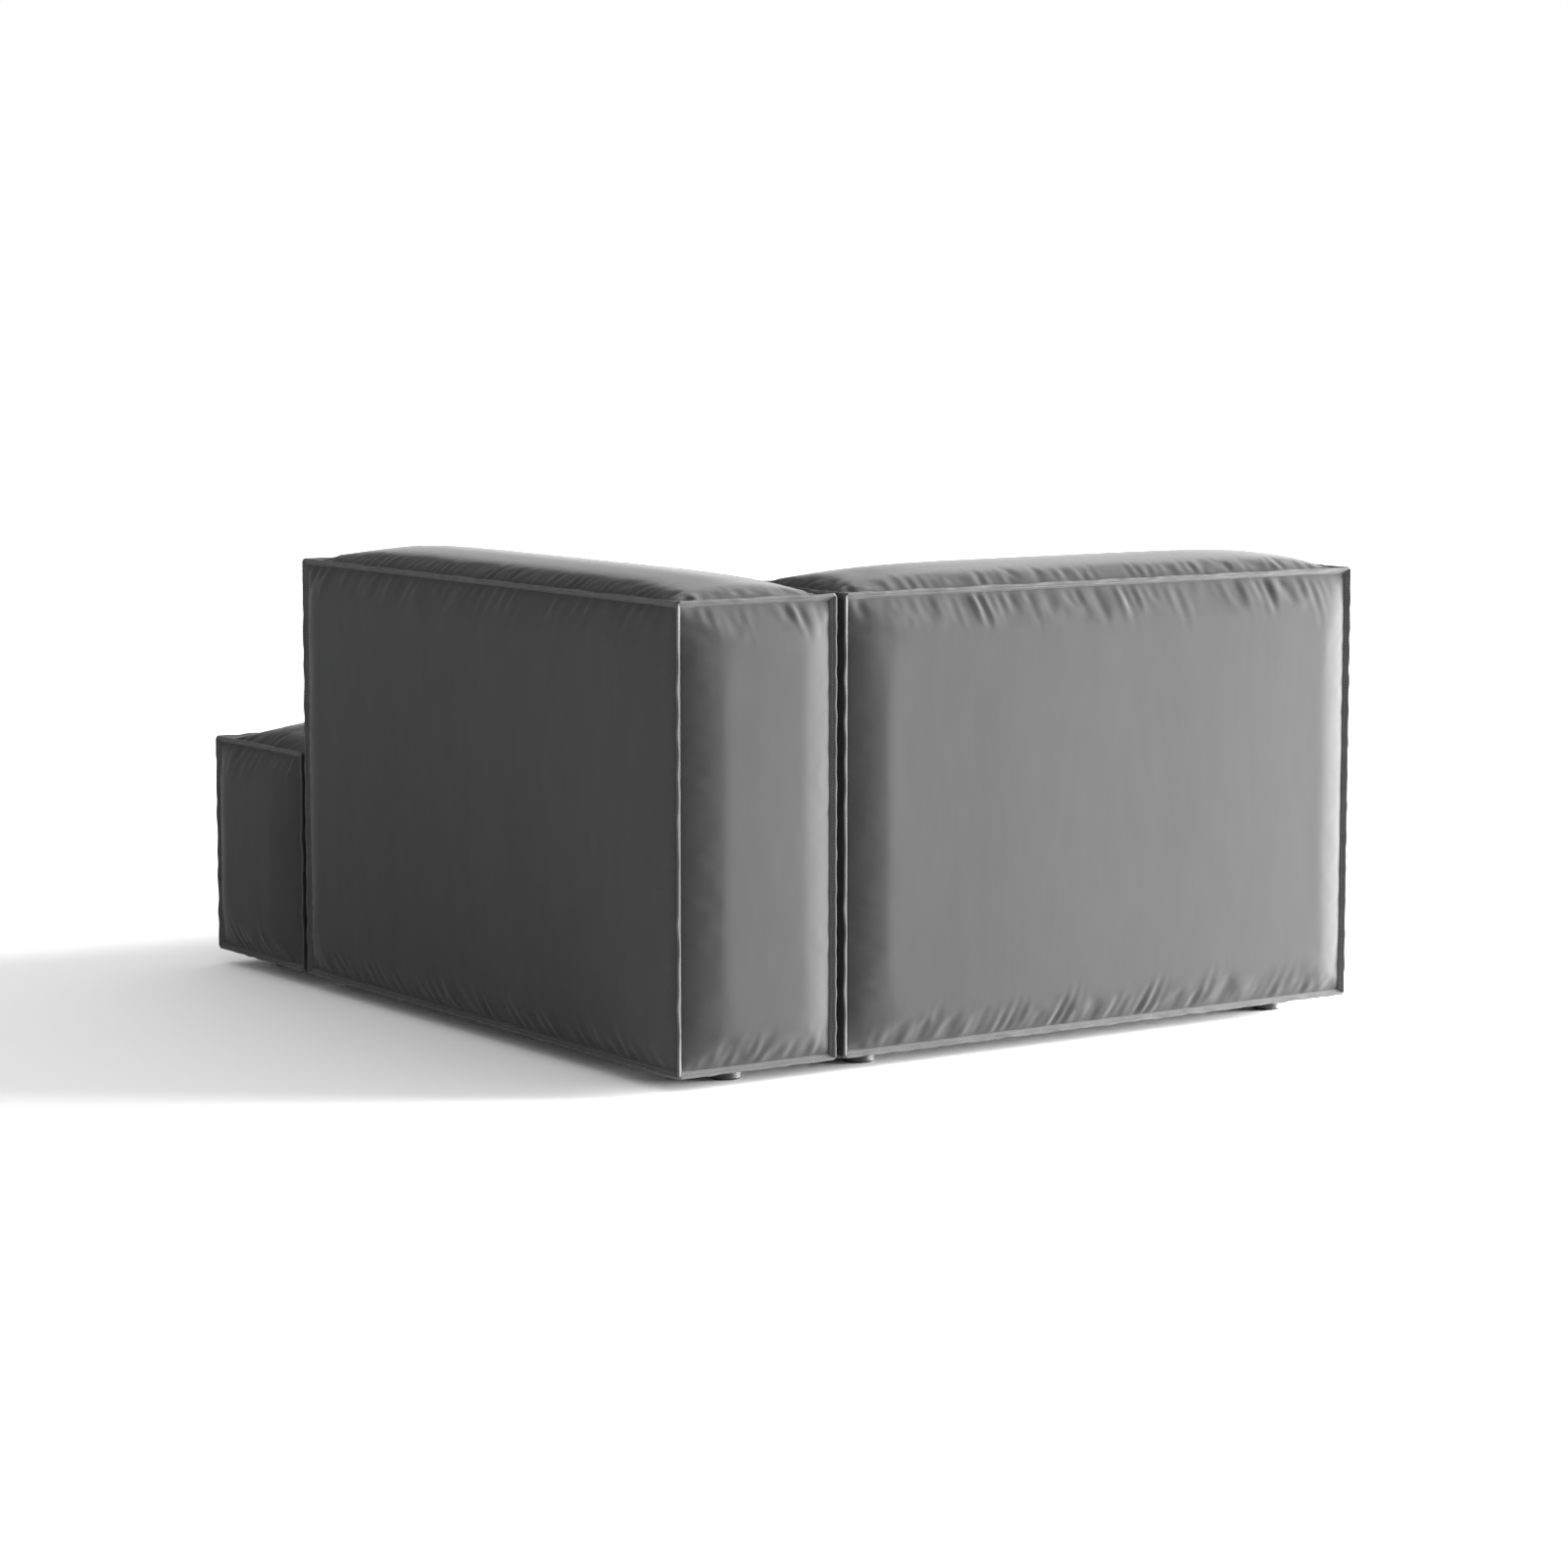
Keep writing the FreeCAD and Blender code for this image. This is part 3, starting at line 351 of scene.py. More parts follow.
class Module:
    """One module's seams, and the panels between them, as a grid over its upright sides."""

    def __init__(self, name, rects, heights, crowns, top_profile):
        """rects are the plan rectangles that make it up, each ((x, y), (x, y)); heights the seams'."""
        self.name, self.rects, self.heights = name, rects, heights
        self.crowns, self.top_profile = crowns, top_profile
        stops = [sorted({corner[axis] for rect in rects for corner in rect}) for axis in (X, Y)]
        self.lines = [grid_lines(axis_stops, GRID_PITCH) for axis_stops in stops + [heights]]
        self.build()
        self.pad()

    def filled(self, x, y):
        return any(low[X] < x < high[X] and low[Y] < y < high[Y] for low, high in self.rects)

    def build(self):
        """The grid's points on the flat panels, its faces, and the panel that each face is in."""
        middles = [(line[1:] + line[:-1]) / 2 for line in self.lines]
        plan = np.array([[self.filled(x, y) for y in middles[Y]] for x in middles[X]])
        inside = np.zeros([len(line) + 1 for line in self.lines], bool)
        inside[1:-1, 1:-1, 1:-1] = plan[:, :, None]
        points, faces, owners, self.panels, index = [], [], [], [], {}
        for axis in (X, Y, Z):
            across = [other for other in (X, Y, Z) if other != axis]
            for sign in (-1, 1):
                beyond = np.roll(inside, -sign, axis)
                cells = np.argwhere(inside & ~beyond) - 1
                for plane in np.unique(cells[:, axis]):
                    self.panels.append((axis, sign, self.lines[axis][plane + (sign > 0)]))
                    for cell in cells[cells[:, axis] == plane]:
                        corners = []
                        for first, second in ((0, 0), (1, 0), (1, 1), (0, 1)):
                            key = cell.copy()
                            key[axis] += sign > 0
                            key[across[0]] += first
                            key[across[1]] += second
                            key = tuple(key)
                            if key not in index:
                                index[key] = len(points)
                                points.append([self.lines[part][key[part]] for part in (X, Y, Z)])
                            corners.append(index[key])
                        # X and Z panels turn with the right-hand rule, Y panels against it
                        if (sign > 0) != (axis != Y):
                            corners.reverse()
                        faces.append(corners)
                        owners.append(len(self.panels) - 1)
        self.flat, self.faces = np.array(points), np.array(faces)
        self.owners = np.array(owners)
        member = np.zeros((len(points), len(self.panels)), bool)
        for corner in range(4):
            member[self.faces[:, corner], self.owners] = True
        self.on_seam = member.sum(1) > 1
        self.inner = [member[:, number] & ~self.on_seam for number in range(len(self.panels))]

    def panel_rects(self, axis, inner):
        """A panel's two directions, and the rectangles that make it up."""
        across = [other for other in (X, Y, Z) if other != axis]
        if axis == Z:
            return across, [(np.array(low), np.array(high)) for low, high in self.rects]
        margin = [self.lines[other][1] - self.lines[other][0] for other in across]
        points = self.flat[inner][:, across]
        return across, [(points.min(0) - margin, points.max(0) + margin)]

    def rise(self, panel, inner, points):
        """How far a panel stands out over some points, and how far each is from its seams."""
        axis, sign, plane = panel
        across, rects = self.panel_rects(axis, inner)
        share, gaps = np.zeros(len(points)), np.zeros((len(points), 2))
        for low, high in rects:
            gap = np.minimum(points[:, across] - low, high - points[:, across])
            gap = np.where((gap > -1e-6).all(1)[:, None], np.maximum(gap, 0), 0)
            gaps = np.maximum(gaps, gap)
            raised = np.ones(len(points))
            for number in (0, 1):
                profile = self.top_profile[across[number]] if axis == Z else side_profile
                raised *= profile(gap[:, number], high[number] - low[number])
            share += raised ** PANEL_JOIN
        return self.crowns(axis, sign, plane) * np.minimum(share, 1) ** (1 / PANEL_JOIN), gaps

    def pad(self):
        """Raises each panel to its crown, and finds how far each point is from the seams."""
        self.padded = self.flat.copy()
        self.normal = np.zeros_like(self.flat)
        self.room = np.zeros(len(self.flat))
        self.seam_gap = np.zeros((len(self.flat), 3))
        for panel, inner in zip(self.panels, self.inner):
            axis, sign, _ = panel
            raised, gaps = self.rise(panel, inner, self.flat[inner])
            across = [other for other in (X, Y, Z) if other != axis]
            self.normal[inner, axis] = sign
            self.room[inner] = self.proud_cap(panel)
            for number in (0, 1):
                self.seam_gap[np.flatnonzero(inner), across[number]] = gaps[:, number]
            self.padded[inner, axis] += sign * raised
            if (axis, sign) == (Z, -1):
                self.room[inner] = 0
                self.padded[inner, Z] += DUST_RECESS * (gaps.min(1) > HEM)

    def proud_cap(self, panel):
        """How far gathers may stand out from a panel: hardly at all where a neighbour is close."""
        return PROUD_CAP if self.crowns(*panel) > FACING_CROWN else FACING_PROUD_CAP

    def side_of_middle(self, points, axis):
        """1 for points past the middle of the module along an axis, and 0 for the others."""
        return points[:, axis] > (self.lines[axis][0] + self.lines[axis][-1]) / 2

    def keep_under(self, points, margin):
        """Presses points in until they are a margin under the padded panels."""
        pressed = points.copy()
        for panel, inner in zip(self.panels, self.inner):
            axis, sign, plane = panel
            raised, gaps = self.rise(panel, inner, points)
            outermost = abs(plane - self.lines[axis][-1 if sign > 0 else 0]) < 1e-6
            over = sign * (pressed[:, axis] - plane) - (raised - margin)
            over[(gaps.min(1) <= 0) & (not outermost)] = 0
            pressed[:, axis] -= sign * np.maximum(over, 0)
        return pressed


def grid_lines(stops, pitch):
    """Lines through every stop, about one pitch apart."""
    lines = [stops[0]]
    for start, end in zip(stops, stops[1:]):
        steps = max(2, round((end - start) / pitch))
        lines += [start + (end - start) * step / steps for step in range(1, steps + 1)]
    return np.array(lines)


def side_profile(gap, size):
    """Steep near the seam, then a low dome right across."""
    edge = 1 - (1 - np.clip(gap / SIDE_RISE, 0, 1)) ** SIDE_POWER
    dome = 1 - (1 - np.clip(2 * gap / size, 0, 1)) ** 2
    return (1 - SIDE_DOME) * edge + SIDE_DOME * dome


def seat_profile(gap, size):
    return 1 - (1 - np.clip(gap / SEAT_RISE, 0, 1)) ** 3


def domed(power):
    """A top that is rounded right across, more steeply at its ends the higher the power."""
    return lambda gap, size: (1 - np.abs(1 - 2 * gap / size) ** power) ** TOP_ROUND


def seam_corners(node):
    """The lowest and highest seam corners of a module, from the box of its flanges."""
    low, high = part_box(node)
    tip = Vector((FLANGE_TIP,) * 3)
    return low + tip, high - tip


arm_low, arm_high = seam_corners("arm_seam_flanges")
back_low, back_high = seam_corners("back_seam_flanges")
seat_low, seat_high = seam_corners("seat_seam_flanges")
toe_north = arm_low.y - ROOT_GAP


def upright_crowns(facing):
    """Crowns of an arm or back module, whose sides named in facing stand close to a neighbour."""
    def crown(axis, sign, plane):
        if axis == Z:
            return TOP_CROWN if sign > 0 else 0
        return facing.get((axis, sign), SIDE_CROWN)
    return crown


def seat_crowns(axis, sign, plane):
    if axis == Z:
        return SEAT_CROWN if sign > 0 else 0
    open_side = sign < 0 or (axis == X and plane > back_high.x + ROOT_GAP)
    return SIDE_CROWN if open_side else PRESSED_CROWN


def plan(low, high):
    return (low.x, low.y), (high.x, high.y)


ACROSS, ALONG = domed(TOP_ACROSS), domed(TOP_ALONG)
modules = [
    Module("arm", [plan(arm_low, arm_high)], [arm_low.z, arm_high.z],
           upright_crowns({(X, -1): FACING_CROWN, (Y, -1): FACING_CROWN}), {X: ACROSS, Y: ALONG}),
    Module("back", [plan(back_low, back_high)], [back_low.z, back_high.z],
           upright_crowns({(X, 1): PRESSED_CROWN, (Y, -1): FACING_CROWN}), {X: ALONG, Y: ACROSS}),
    Module("seat",
           [((seat_low.x, seat_low.y), (back_high.x, seat_high.y)),
            ((seat_low.x, seat_low.y), (seat_high.x, toe_north))],
           [seat_low.z, seat_high.z], seat_crowns, {X: seat_profile, Y: seat_profile}),
]


def upright_seam(axis, away):
    """Whether the seams that bound a panel in a direction, the panel facing an axis, are upright."""
    return axis != Z and away != Z


def slack_near_seams(module):
    """From 0 to 1, how much spare cloth was gathered in at each point: most at the level seams."""
    slack = np.zeros(len(module.flat))
    for number, ((axis, sign, _), inner) in enumerate(zip(module.panels, module.inner)):
        if (axis, sign) == (Z, -1):
            continue
        for across in (other for other in (X, Y, Z) if other != axis):
            along = next(other for other in (X, Y, Z) if other not in (axis, across))
            side = module.side_of_middle(module.flat[inner], across)
            place = module.flat[inner, along] + OTHER_SEAM * side
            seed = [len(module.name), number, across]
            depth = SLACK_DEPTH + SLACK_DEPTH_SPREAD * waves(seed, place, 0.06, 0.4)
            amount = SLACK_LEVEL + SLACK_LEVEL_SPREAD * waves(seed + [1], place, 0.05, 0.3)
            if upright_seam(axis, across):
                amount = SLACK_UPRIGHT * amount
            gap = module.seam_gap[inner, across]
            slack[inner] = np.maximum(slack[inner], np.clip(amount, 0, 1) * (1 - smooth(gap / depth)))
    return slack


def lean(module, points):
    """Slides the padding along the seams, so that the gathers lean towards -X and -Y."""
    leaned = points.copy()
    for (axis, sign, _), inner in zip(module.panels, module.inner):
        if (axis, sign) == (Z, -1):
            continue
        pairs = [(Y, X)] if axis == Z else [(Z, X if axis == Y else Y)]
        for away, along in pairs:
            gap, end_gap = module.seam_gap[inner, away], module.seam_gap[inner, along]
            fade = 1 - smooth((gap - LEAN_FADE_FROM) / LEAN_FADE_BAND)
            slide = LEAN * LEAN_BAND * smooth(gap / LEAN_BAND) * fade
            leaned[inner, along] -= slide * smooth((end_gap - LEAN_END_FROM) / LEAN_END_BAND)
    return leaned


def blow_out(cover, hold, taut):
    """Simulates the cover, held and taut by so much at each point, and gives its new points."""
    pins = cover.vertex_groups.new(name="held")
    tight = cover.vertex_groups.new(name="tight")
    for number in range(len(hold)):
        if hold[number] > 0:
            pins.add([number], float(hold[number]), "REPLACE")
        tight.add([number], float(taut[number]), "REPLACE")
    cloth = cover.modifiers.new("Gathers", "CLOTH")
    settings = cloth.settings
    settings.quality = 5
    settings.mass = 0.3
    settings.tension_stiffness = settings.compression_stiffness = 15
    settings.shear_stiffness = 5
    settings.bending_stiffness = 0.2
    settings.use_pressure = True
    settings.uniform_pressure_force = PRESSURE
    settings.effector_weights.gravity = 0
    settings.vertex_group_mass = pins.name
    settings.vertex_group_shrink = tight.name
    settings.shrink_min = -SLACK
    settings.shrink_max = 0
    cloth.collision_settings.use_collision = False
    cloth.point_cache.frame_start = 1
    cloth.point_cache.frame_end = FRAMES
    for step in range(1, FRAMES + 1):
        bpy.context.scene.frame_set(step)
    graph = bpy.context.evaluated_depsgraph_get()
    blown = mesh_points(cover.evaluated_get(graph).data)
    cover.modifiers.clear()
    cover.vertex_groups.clear()
    bpy.context.scene.frame_set(1)
    return blown


def gather(cover, module):
    """Blows the cover out a little between its pinned seams, with spare cloth along them.

    Points slide in the panel's plane as the cloth does, while its padded profile stays, and the
    gathers stand proud of it and dip under it no further than the caps allow.
    """
    gap = module.seam_gap.copy()
    gap[gap == 0] = FAR
    fixed = module.on_seam | (module.room == 0)
    hold = smooth((gap.min(1) - HOLD_FROM) / (HOLD_FULL - HOLD_FROM))
    hold[fixed] = 1
    move = blow_out(cover, hold, 1 - slack_near_seams(module)) - module.padded
    size = np.linalg.norm(move, axis=1, keepdims=True)
    move *= np.minimum(1, MOVE_CAP / np.maximum(size, 1e-9))
    proud = (move * module.normal).sum(1)
    fade = 1 - smooth((gap.min(1) - PROUD_FROM) / PROUD_BAND)
    allowed = np.clip(proud, -DENT_CAP * fade, module.room * fade)
    shape = module.padded + move
    for panel, inner in zip(module.panels, module.inner):
        axis, sign, plane = panel
        if (axis, sign) != (Z, -1):
            raised, _ = module.rise(panel, inner, shape[inner])
            shape[inner, axis] = plane + sign * (raised + allowed[inner])
    shape[fixed] = module.padded[fixed]
    return shape


def pucker(cover, module, owners):
    """Pushes fine gathers into the finished cover along its seams, along each panel's normal."""
    mesh = cover.data
    before = mesh_points(mesh).astype(float)
    points = before.copy()
    corners = np.zeros(len(mesh.loops), np.int32)
    mesh.loops.foreach_get("vertex_index", corners)
    corners = corners.reshape(-1, 4)
    for number, (panel, inner) in enumerate(zip(module.panels, module.inner)):
        axis, sign, _ = panel
        if (axis, sign) == (Z, -1):
            continue
        mine = np.unique(corners[owners == number])
        _, gaps = module.rise(panel, inner, before[mine])
        across = [other for other in (X, Y, Z) if other != axis]
        push = np.zeros(len(mine))
        for which, away in enumerate(across):
            gap, end_gap = gaps[:, which], gaps[:, 1 - which]
            side = module.side_of_middle(before[mine], away)
            place = before[mine, across[1 - which]] + PUCKER_LEAN * gap + OTHER_SEAM * side
            seed = [len(module.name), number, away]
            reach = PUCKER_REACH * (1 + 0.4 * waves(seed + [3], place, 0.03, 0.15))
            strength = np.clip(0.6 + 0.5 * waves(seed + [4], place, 0.05, 0.3), 0, 1.4)
            size = PUCKER_UPRIGHT if upright_seam(axis, away) else PUCKER
            start = smooth(gap / PUCKER_START)
            fade = 1 - smooth((gap - PUCKER_START) / np.maximum(reach, PUCKER_LEAST_REACH))
            ends = smooth(end_gap / PUCKER_END)
            folds = waves(seed + [5], place, PUCKER_SHORTEST, PUCKER_LONGEST, PUCKER_WAVES)
            push += size * strength * start * fade * ends * folds
        points[mine, axis] += sign * np.minimum(push, module.proud_cap(panel))
    set_mesh_points(mesh, points)
    mesh.update()


def pin_holes(module):
    """Where the connector pins enter the module from below."""
    if module.name == "seat":
        return []
    low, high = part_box(f"{module.name}_connector_plates")
    along = Y if module.name == "arm" else X
    spots = []
    for end, way in ((low, 1), (high, -1)):
        spot = (low + high) / 2
        spot[along] = end[along] + way * PIN_FROM_END
        spots.append((spot.x, spot.y))
    return spots


def velvet_cover(module):
    """A module's cover: gathered, slid along its seams, subdivided with creased seams and puckered."""
    faces = module.faces
    under = np.array([module.panels[owner][:2] == (Z, -1) for owner in module.owners])
    middles = module.flat[faces].mean(1)
    keep = np.ones(len(faces), bool)
    for x, y in pin_holes(module):
        keep &= ~(under & (np.hypot(middles[:, X] - x, middles[:, Y] - y) < PIN_HOLE_RADIUS))
    cover = new_object(f"{module.name}_velvet_cover", module.padded, faces[keep], VELVET)
    shape = gather(cover, module)
    set_mesh_points(cover.data, lean(module, shape))
    crease = cover.data.attributes.new("crease_edge", "FLOAT", "EDGE")
    ends = np.zeros(len(cover.data.edges) * 2, np.int32)
    cover.data.edges.foreach_get("vertices", ends)
    seamed = module.on_seam[ends.reshape(-1, 2)].all(1)
    crease.data.foreach_set("value", seamed.astype(np.float32))
    subdivide = cover.modifiers.new("Finer", "SUBSURF")
    subdivide.levels = subdivide.render_levels = 1
    bake_modifiers(cover)
    pucker(cover, module, np.repeat(module.owners[keep], 4))
    return cover


for module in modules:
    cover = velvet_cover(module)
    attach(cover, module.name)
    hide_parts(f"{module.name}_cover")


# ---------------------------------------------------------------- flanged seams and their stitching

class Seam:
    """A strip that stands out at 45 degrees from one edge, with rounded ends where seams meet."""

    def __init__(self, start, end, outward, seed, ends=(True, True)):
        self.start, self.way = Vector(start), (Vector(end) - Vector(start)).normalized()
        self.length = (Vector(end) - Vector(start)).length
        self.outward = Vector(outward).normalized()
        self.normal = self.way.cross(self.outward)
        self.seed, self.ends = seed, ends

    def points(self, place, share, side):
        """Places along it, shares from the root, 0, to the rim, 1, and offsets across, as points."""
        place, share, side = np.broadcast_arrays(place, share, side)
        past = np.maximum(np.maximum(place - self.length, -place), 0)
        straight = FLANGE_REACH - FLANGE_ROUND
        curve = np.maximum(FLANGE_ROUND ** 2 - np.maximum(past - straight, 0) ** 2, 0)
        reach = straight + np.sqrt(curve)
        root = np.where(past > 0, past, FLANGE_ROOT)
        end_gap = np.minimum(place, self.length - place)
        fade = smooth((end_gap - FLANGE_STILL_END) / FLANGE_FADE)
        rim = FLANGE_RIM_WANDER * fade * waves(self.seed + [1], place, 0.02, 0.06)
        out = (root + (reach - root) * share) * math.sqrt(2) + rim * share
        lift = np.clip(out / (FLANGE_REACH * math.sqrt(2)), 0, 1.2)
        sway = FLANGE_SWAY * fade * waves(self.seed, place, 0.03, 0.16) * lift ** 1.5
        return (np.array(self.start) + place[..., None] * np.array(self.way)
                + out[..., None] * np.array(self.outward)
                + (side + sway)[..., None] * np.array(self.normal))

    def span(self):
        """How far it runs past each end: to the mitre where seams meet, or short of an inner corner."""
        mitre = FLANGE_REACH - FLANGE_ROUND * (1 - math.sqrt(0.5)) - 1e-5
        short = -(FLANGE_TIP + CLEARANCE)
        return (-(mitre if self.ends[0] else short),
                self.length + (mitre if self.ends[1] else short))


# one face of the strip: shares of its reach and of half its thickness, with the stitches' groove
FACE = [(0, 1), (0.30, 1), (0.42, 0.95), (0.50, 0.62), (0.58, 0.95), (0.80, 1.0), (0.93, 0.8), (1, 0.3)]
SECTION = FACE + [(share, -side) for share, side in reversed(FACE)]
STITCH_SHARE = 0.50
STITCH_HEIGHT = 0.36
# extra rings near a strip's ends, where its corner is rounded
END_RINGS = np.array([0.0008, 0.0016, 0.0024, 0.0032, 0.0048])


def flange_mesh(seams):
    """One closed strip for every seam."""
    points, faces = [], []
    share, side = np.array(SECTION).T
    around = np.arange(len(SECTION))
    after = np.roll(around, -1)
    for seam in seams:
        first, last = seam.span()
        places = np.linspace(first, last, max(2, round((last - first) / FLANGE_STEP)) + 1)
        places = np.sort(np.concatenate([places, first + END_RINGS, last - END_RINGS]))
        base = sum(len(part) for part in points)
        points.append(seam.points(places[:, None], share, side * FLANGE_THICK / 2).reshape(-1, 3))
        for ring in range(len(places) - 1):
            low = base + ring * len(SECTION)
            high = low + len(SECTION)
            band = [low + around, high + around, high + after, low + after]
            faces += np.column_stack(band).tolist()
        last_ring = base + (len(places) - 1) * len(SECTION)
        faces.append((base + around).tolist())
        faces.append((last_ring + around[::-1]).tolist())
    return np.concatenate(points), faces


def stitch_mesh(seams):
    """Short threads in the groove on both faces of every seam.

    A thread has six points: its two ends, and four round its middle.
    """
    points, faces = [], []
    for seam in seams:
        count = int((seam.length - STITCH_MARGIN) / STITCH_PITCH)
        margin = (seam.length - count * STITCH_PITCH) / 2
        middles = margin + (np.arange(count) + 0.5) * STITCH_PITCH
        for side in (-1, 1):
            height = side * FLANGE_THICK * STITCH_HEIGHT
            first, centre, last = (seam.points(middles + way * STITCH_LONG / 2, STITCH_SHARE, height)
                                   for way in (-1, 0, 1))
            rise = np.array(seam.normal) * STITCH_RADIUS * side
            across = np.array(seam.outward) * STITCH_RADIUS * side
            threads = np.stack([first, last, centre + rise * STITCH_CROWN, centre + across,
                                centre - rise, centre - across], axis=1)
            base = sum(len(part) for part in points)
            points.append(threads.reshape(-1, 3))
            for thread in range(count):
                start = base + 6 * thread
                for spot in range(4):
                    after = (spot + 1) % 4
                    faces.append((start, start + 2 + spot, start + 2 + after))
                    faces.append((start + 1, start + 2 + after, start + 2 + spot))
    return np.concatenate(points), faces


def module_seams(module):
    """All the flanged seams of a module, from its outline in plan, anticlockwise."""
    low, high = module.heights
    if len(module.rects) == 1:
        (west, south), (east, north) = module.rects[0]
        outline = [((west, south), (-1, -1), True), ((east, south), (1, -1), True),
                   ((east, north), (1, 1), True), ((west, north), (-1, 1), True)]
    else:
        (west, south), (inner, north) = module.rects[0]
        _, (east, step) = module.rects[1]
        outline = [((west, south), (-1, -1), True), ((east, south), (1, -1), True),
                   ((east, step), (1, 1), True), ((inner, step), (1, 1), False),
                   ((inner, north), (1, 1), True), ((west, north), (-1, 1), True)]
    seams = []
    for number, ((x, y), (sign_x, sign_y), outer) in enumerate(outline):
        (next_x, next_y), _, next_outer = outline[(number + 1) % len(outline)]
        if outer:
            seams.append(Seam((x, y, low), (x, y, high), (sign_x, sign_y, 0), [number, 0]))
        way = Vector((next_x - x, next_y - y, 0)).normalized()
        out = way.cross(UP)
        for level, up in ((low, -1), (high, 1)):
            seams.append(Seam((x, y, level), (next_x, next_y, level), out + UP * up,
                              [number, 2 + up, len(module.name)], (outer, next_outer)))
    return seams


for module in modules:
    seams = module_seams(module)
    # the flanges take the lighter seam velvet, whose extra lightness is a painted highlight
    flanges = new_object(f"{module.name}_velvet_flanges", *flange_mesh(seams), SEAM_VELVET_PAINTED_HIGHLIGHT)
    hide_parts(f"{module.name}_seam_flanges")
    stitching = new_object(f"{module.name}_stitching", *stitch_mesh(seams), THREAD)
    for piece in (flanges, stitching):
        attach(piece, module.name)


# ---------------------------------------------------------------- fillings and cloths inside and under

def remesh(piece, name, voxel):
    modifier = piece.modifiers.new(name, "REMESH")
    modifier.mode = "VOXEL"
    modifier.voxel_size = voxel


def filling(name, node, module, material, voxel):
    """A soft piece made from the CAD solid: rounded by a remesh, and kept well under the cover."""
    piece = bpy.data.objects.new(name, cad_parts[node].data.copy())
    bpy.context.scene.collection.objects.link(piece)
    remesh(piece, "Rounded", voxel)
    soften = piece.modifiers.new("Soft", "SMOOTH")
    soften.iterations = FILLING_ROUNDING
    bake_modifiers(piece)
    set_mesh_points(piece.data, module.keep_under(mesh_points(piece.data), FILLING_MARGIN))
    remesh(piece, "Closed", voxel)
    bake_modifiers(piece)
    piece.data.materials.clear()
    piece.data.materials.append(material)
    piece.data.shade_smooth()
    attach(piece, module.name)
    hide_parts(node)


for module in modules:
    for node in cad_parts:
        if node.startswith(module.name) and node.endswith("_foam"):
            filling(f"{node}_slab", node, module, FOAM, FOAM_VOXEL)
        if node.startswith(module.name) and node.endswith("_spring_pad"):
            filling("seat_felt_pad", node, module, FELT, FELT_VOXEL)


def thicken(piece, thickness, offset):
    """Gives a flat mesh its thickness: offset -1 leaves the flat mesh outermost, and 1 innermost."""
    modifier = piece.modifiers.new("Thick", "SOLIDIFY")
    modifier.thickness = thickness
    modifier.offset = offset
    bake_modifiers(piece)


def sheet_grid(outline_rects, pitch):
    """A flat grid over some plan rectangles: its points and faces."""
    stops = [sorted({corner[axis] for rect in outline_rects for corner in rect}) for axis in (X, Y)]
    xs, ys = (grid_lines(line, pitch) for line in stops)
    points, faces, index = [], [], {}
    for column in range(len(xs) - 1):
        for row in range(len(ys) - 1):
            x, y = (xs[column] + xs[column + 1]) / 2, (ys[row] + ys[row + 1]) / 2
            if not any(low[X] < x < high[X] and low[Y] < y < high[Y] for low, high in outline_rects):
                continue
            face = []
            for key in ((column, row), (column, row + 1), (column + 1, row + 1), (column + 1, row)):
                if key not in index:
                    index[key] = len(points)
                    points.append((xs[key[0]], ys[key[1]]))
                face.append(index[key])
            faces.append(face)
    return np.array(points), faces


def dust_sheet(module):
    """The stapled cloth under a module, which sags a little away from its edges."""
    low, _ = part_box(f"{module.name}_dust_cover")
    rects = [((first[X] + HEM, first[Y] + HEM), (last[X] - HEM, last[Y] - HEM))
             for first, last in module.rects]
    flat, faces = sheet_grid(rects, DUST_PITCH)
    edge = np.zeros(len(flat))
    for first, last in rects:
        gap = np.minimum(flat - np.array(first), np.array(last) - flat).min(1)
        edge = np.maximum(edge, gap)
    hollow = DUST_HOLLOW * smooth(edge / HEM) * (0.6 + 0.4 * waves(5, flat.sum(1), 0.1, 0.5))
    points = np.column_stack([flat, low.z - SKIN_GAP - hollow])
    sheet = new_object(f"{module.name}_dust_sheet", points, faces, DUST_CLOTH)
    thicken(sheet, DUST_THICK, -1)
    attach(sheet, module.name)
    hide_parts(f"{module.name}_dust_cover")


for module in modules:
    dust_sheet(module)


def straps():
    """The upright webbing straps on the front of the back module's frame, slightly bowed inward."""
    low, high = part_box("back_webbing")
    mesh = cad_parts["back_webbing"].data
    lefts = sorted({round(vertex.co.x, 4) for vertex in mesh.vertices})
    points, faces = [], []
    across = STRAP_COLUMNS + 1
    for left, right in zip(lefts[::2], lefts[1::2]):
        base = len(points)
        for row in range(STRAP_ROWS + 1):
            share = row / STRAP_ROWS
            z = low.z + (high.z - low.z) * share
            bow = STRAP_BOW * math.sin(math.pi * share)
            for column in range(across):
                x = left + (right - left) * column / STRAP_COLUMNS
                points.append((x, high.y + bow - SKIN_GAP, z))
        for row in range(STRAP_ROWS):
            for column in range(STRAP_COLUMNS):
                first = base + row * across + column
                faces.append((first, first + 1, first + across + 1, first + across))
    piece = new_object("back_strap_webbing", points, faces, WEBBING)
    thicken(piece, STRAP_THICK, 1)
    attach(piece, "back")
    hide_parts("back_webbing")


straps()


# ---------------------------------------------------------------- floor, light and camera

FLOOR_SIZE = 30
FILL_LIGHT = 0.88
VIEW_AZIMUTH = 145.54
VIEW_ELEVATION = 6.89
VIEW_DISTANCE = 6.626
VIEW_OFFSET = Vector((-0.0264, 0.0219, -0.0316))
VIEW_LENS = 95.8
VIEW_SENSOR = 36

floor_corners = [(x * FLOOR_SIZE, y * FLOOR_SIZE, 0) for x, y in ((-1, -1), (1, -1), (1, 1), (-1, 1))]
floor_paint = surface("studio_floor", base_color=(0.95, 0.95, 0.95, 1), roughness=0.9)
floor = new_object("floor", floor_corners, [(0, 1, 2, 3)], floor_paint)


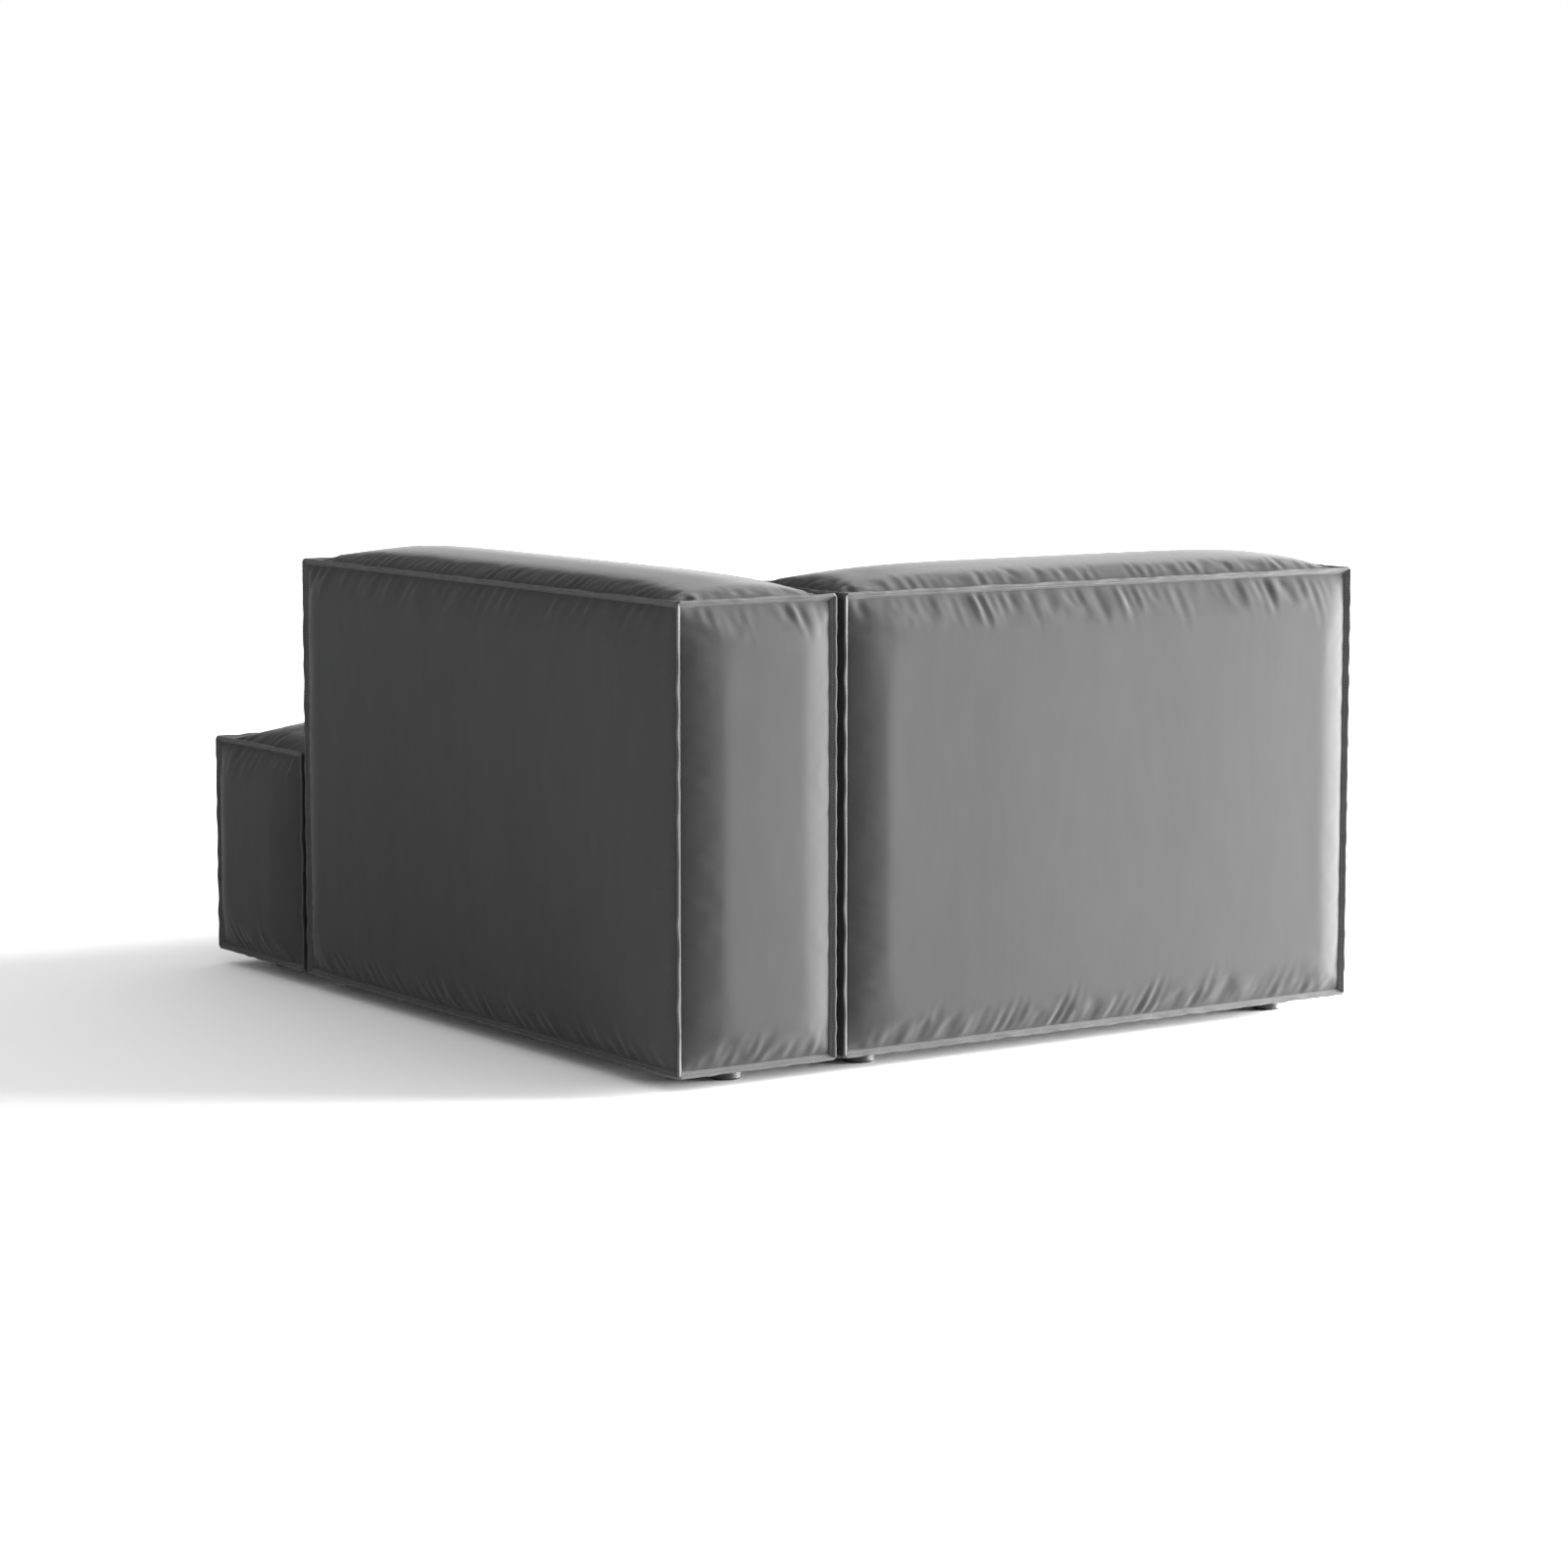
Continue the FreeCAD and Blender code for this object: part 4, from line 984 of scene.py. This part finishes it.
def towards(azimuth, elevation):
    """The direction from the object to a place round it; azimuth 0 is in front, towards -Y."""
    turn, tilt = math.radians(azimuth), math.radians(elevation)
    return Vector((math.sin(turn) * math.cos(tilt), -math.cos(turn) * math.cos(tilt), math.sin(tilt)))


def aim(item, direction):
    item.rotation_mode = "QUATERNION"
    item.rotation_quaternion = (-direction).to_track_quat("-Z", "Y")


def sun(name, azimuth, elevation, strength, spread):
    """A light from far away; spread is the angle that it comes from, in degrees."""
    light = bpy.data.lights.new(name, "SUN")
    light.energy = strength
    light.angle = math.radians(spread)
    item = bpy.data.objects.new(name, light)
    bpy.context.scene.collection.objects.link(item)
    aim(item, towards(azimuth, elevation))


def softbox(name, azimuth, elevation, distance, size, power):
    """A square light beside the object, with its power in watts."""
    light = bpy.data.lights.new(name, "AREA")
    light.shape = "SQUARE"
    light.size = size
    light.energy = power
    item = bpy.data.objects.new(name, light)
    bpy.context.scene.collection.objects.link(item)
    item.location = towards(azimuth, elevation) * distance
    aim(item, towards(azimuth, elevation))


sun("key_light", azimuth=248, elevation=4, strength=38, spread=36)
softbox("side_light", azimuth=243, elevation=5, distance=2.4, size=1.0, power=300)

# the world lights the object softly, and the camera sees it as plain white
world = bpy.data.worlds.new("studio")
world.use_nodes = True
sky = world.node_tree.nodes
sky["Background"].inputs["Color"].default_value = (1, 1, 1, 1)
sky["Background"].inputs["Strength"].default_value = FILL_LIGHT
backdrop = sky.new("ShaderNodeBackground")
backdrop.inputs["Color"].default_value = (1, 1, 1, 1)
seen = sky.new("ShaderNodeMixShader")
rays = sky.new("ShaderNodeLightPath")
for source, target in ((rays.outputs["Is Camera Ray"], seen.inputs[0]),
                       (sky["Background"].outputs[0], seen.inputs[1]),
                       (backdrop.outputs[0], seen.inputs[2]),
                       (seen.outputs[0], sky["World Output"].inputs["Surface"])):
    world.node_tree.links.new(source, target)
bpy.context.scene.world = world
bpy.context.scene.view_settings.view_transform = "Standard"

camera = bpy.data.objects.new("camera", bpy.data.cameras.new("camera"))
bpy.context.scene.collection.objects.link(camera)
camera.data.lens = VIEW_LENS
camera.data.sensor_width = VIEW_SENSOR
middle = (cad_low + cad_high) / 2 + VIEW_OFFSET
camera.location = middle + towards(VIEW_AZIMUTH, VIEW_ELEVATION) * VIEW_DISTANCE
aim(camera, towards(VIEW_AZIMUTH, VIEW_ELEVATION))
bpy.context.scene.camera = camera
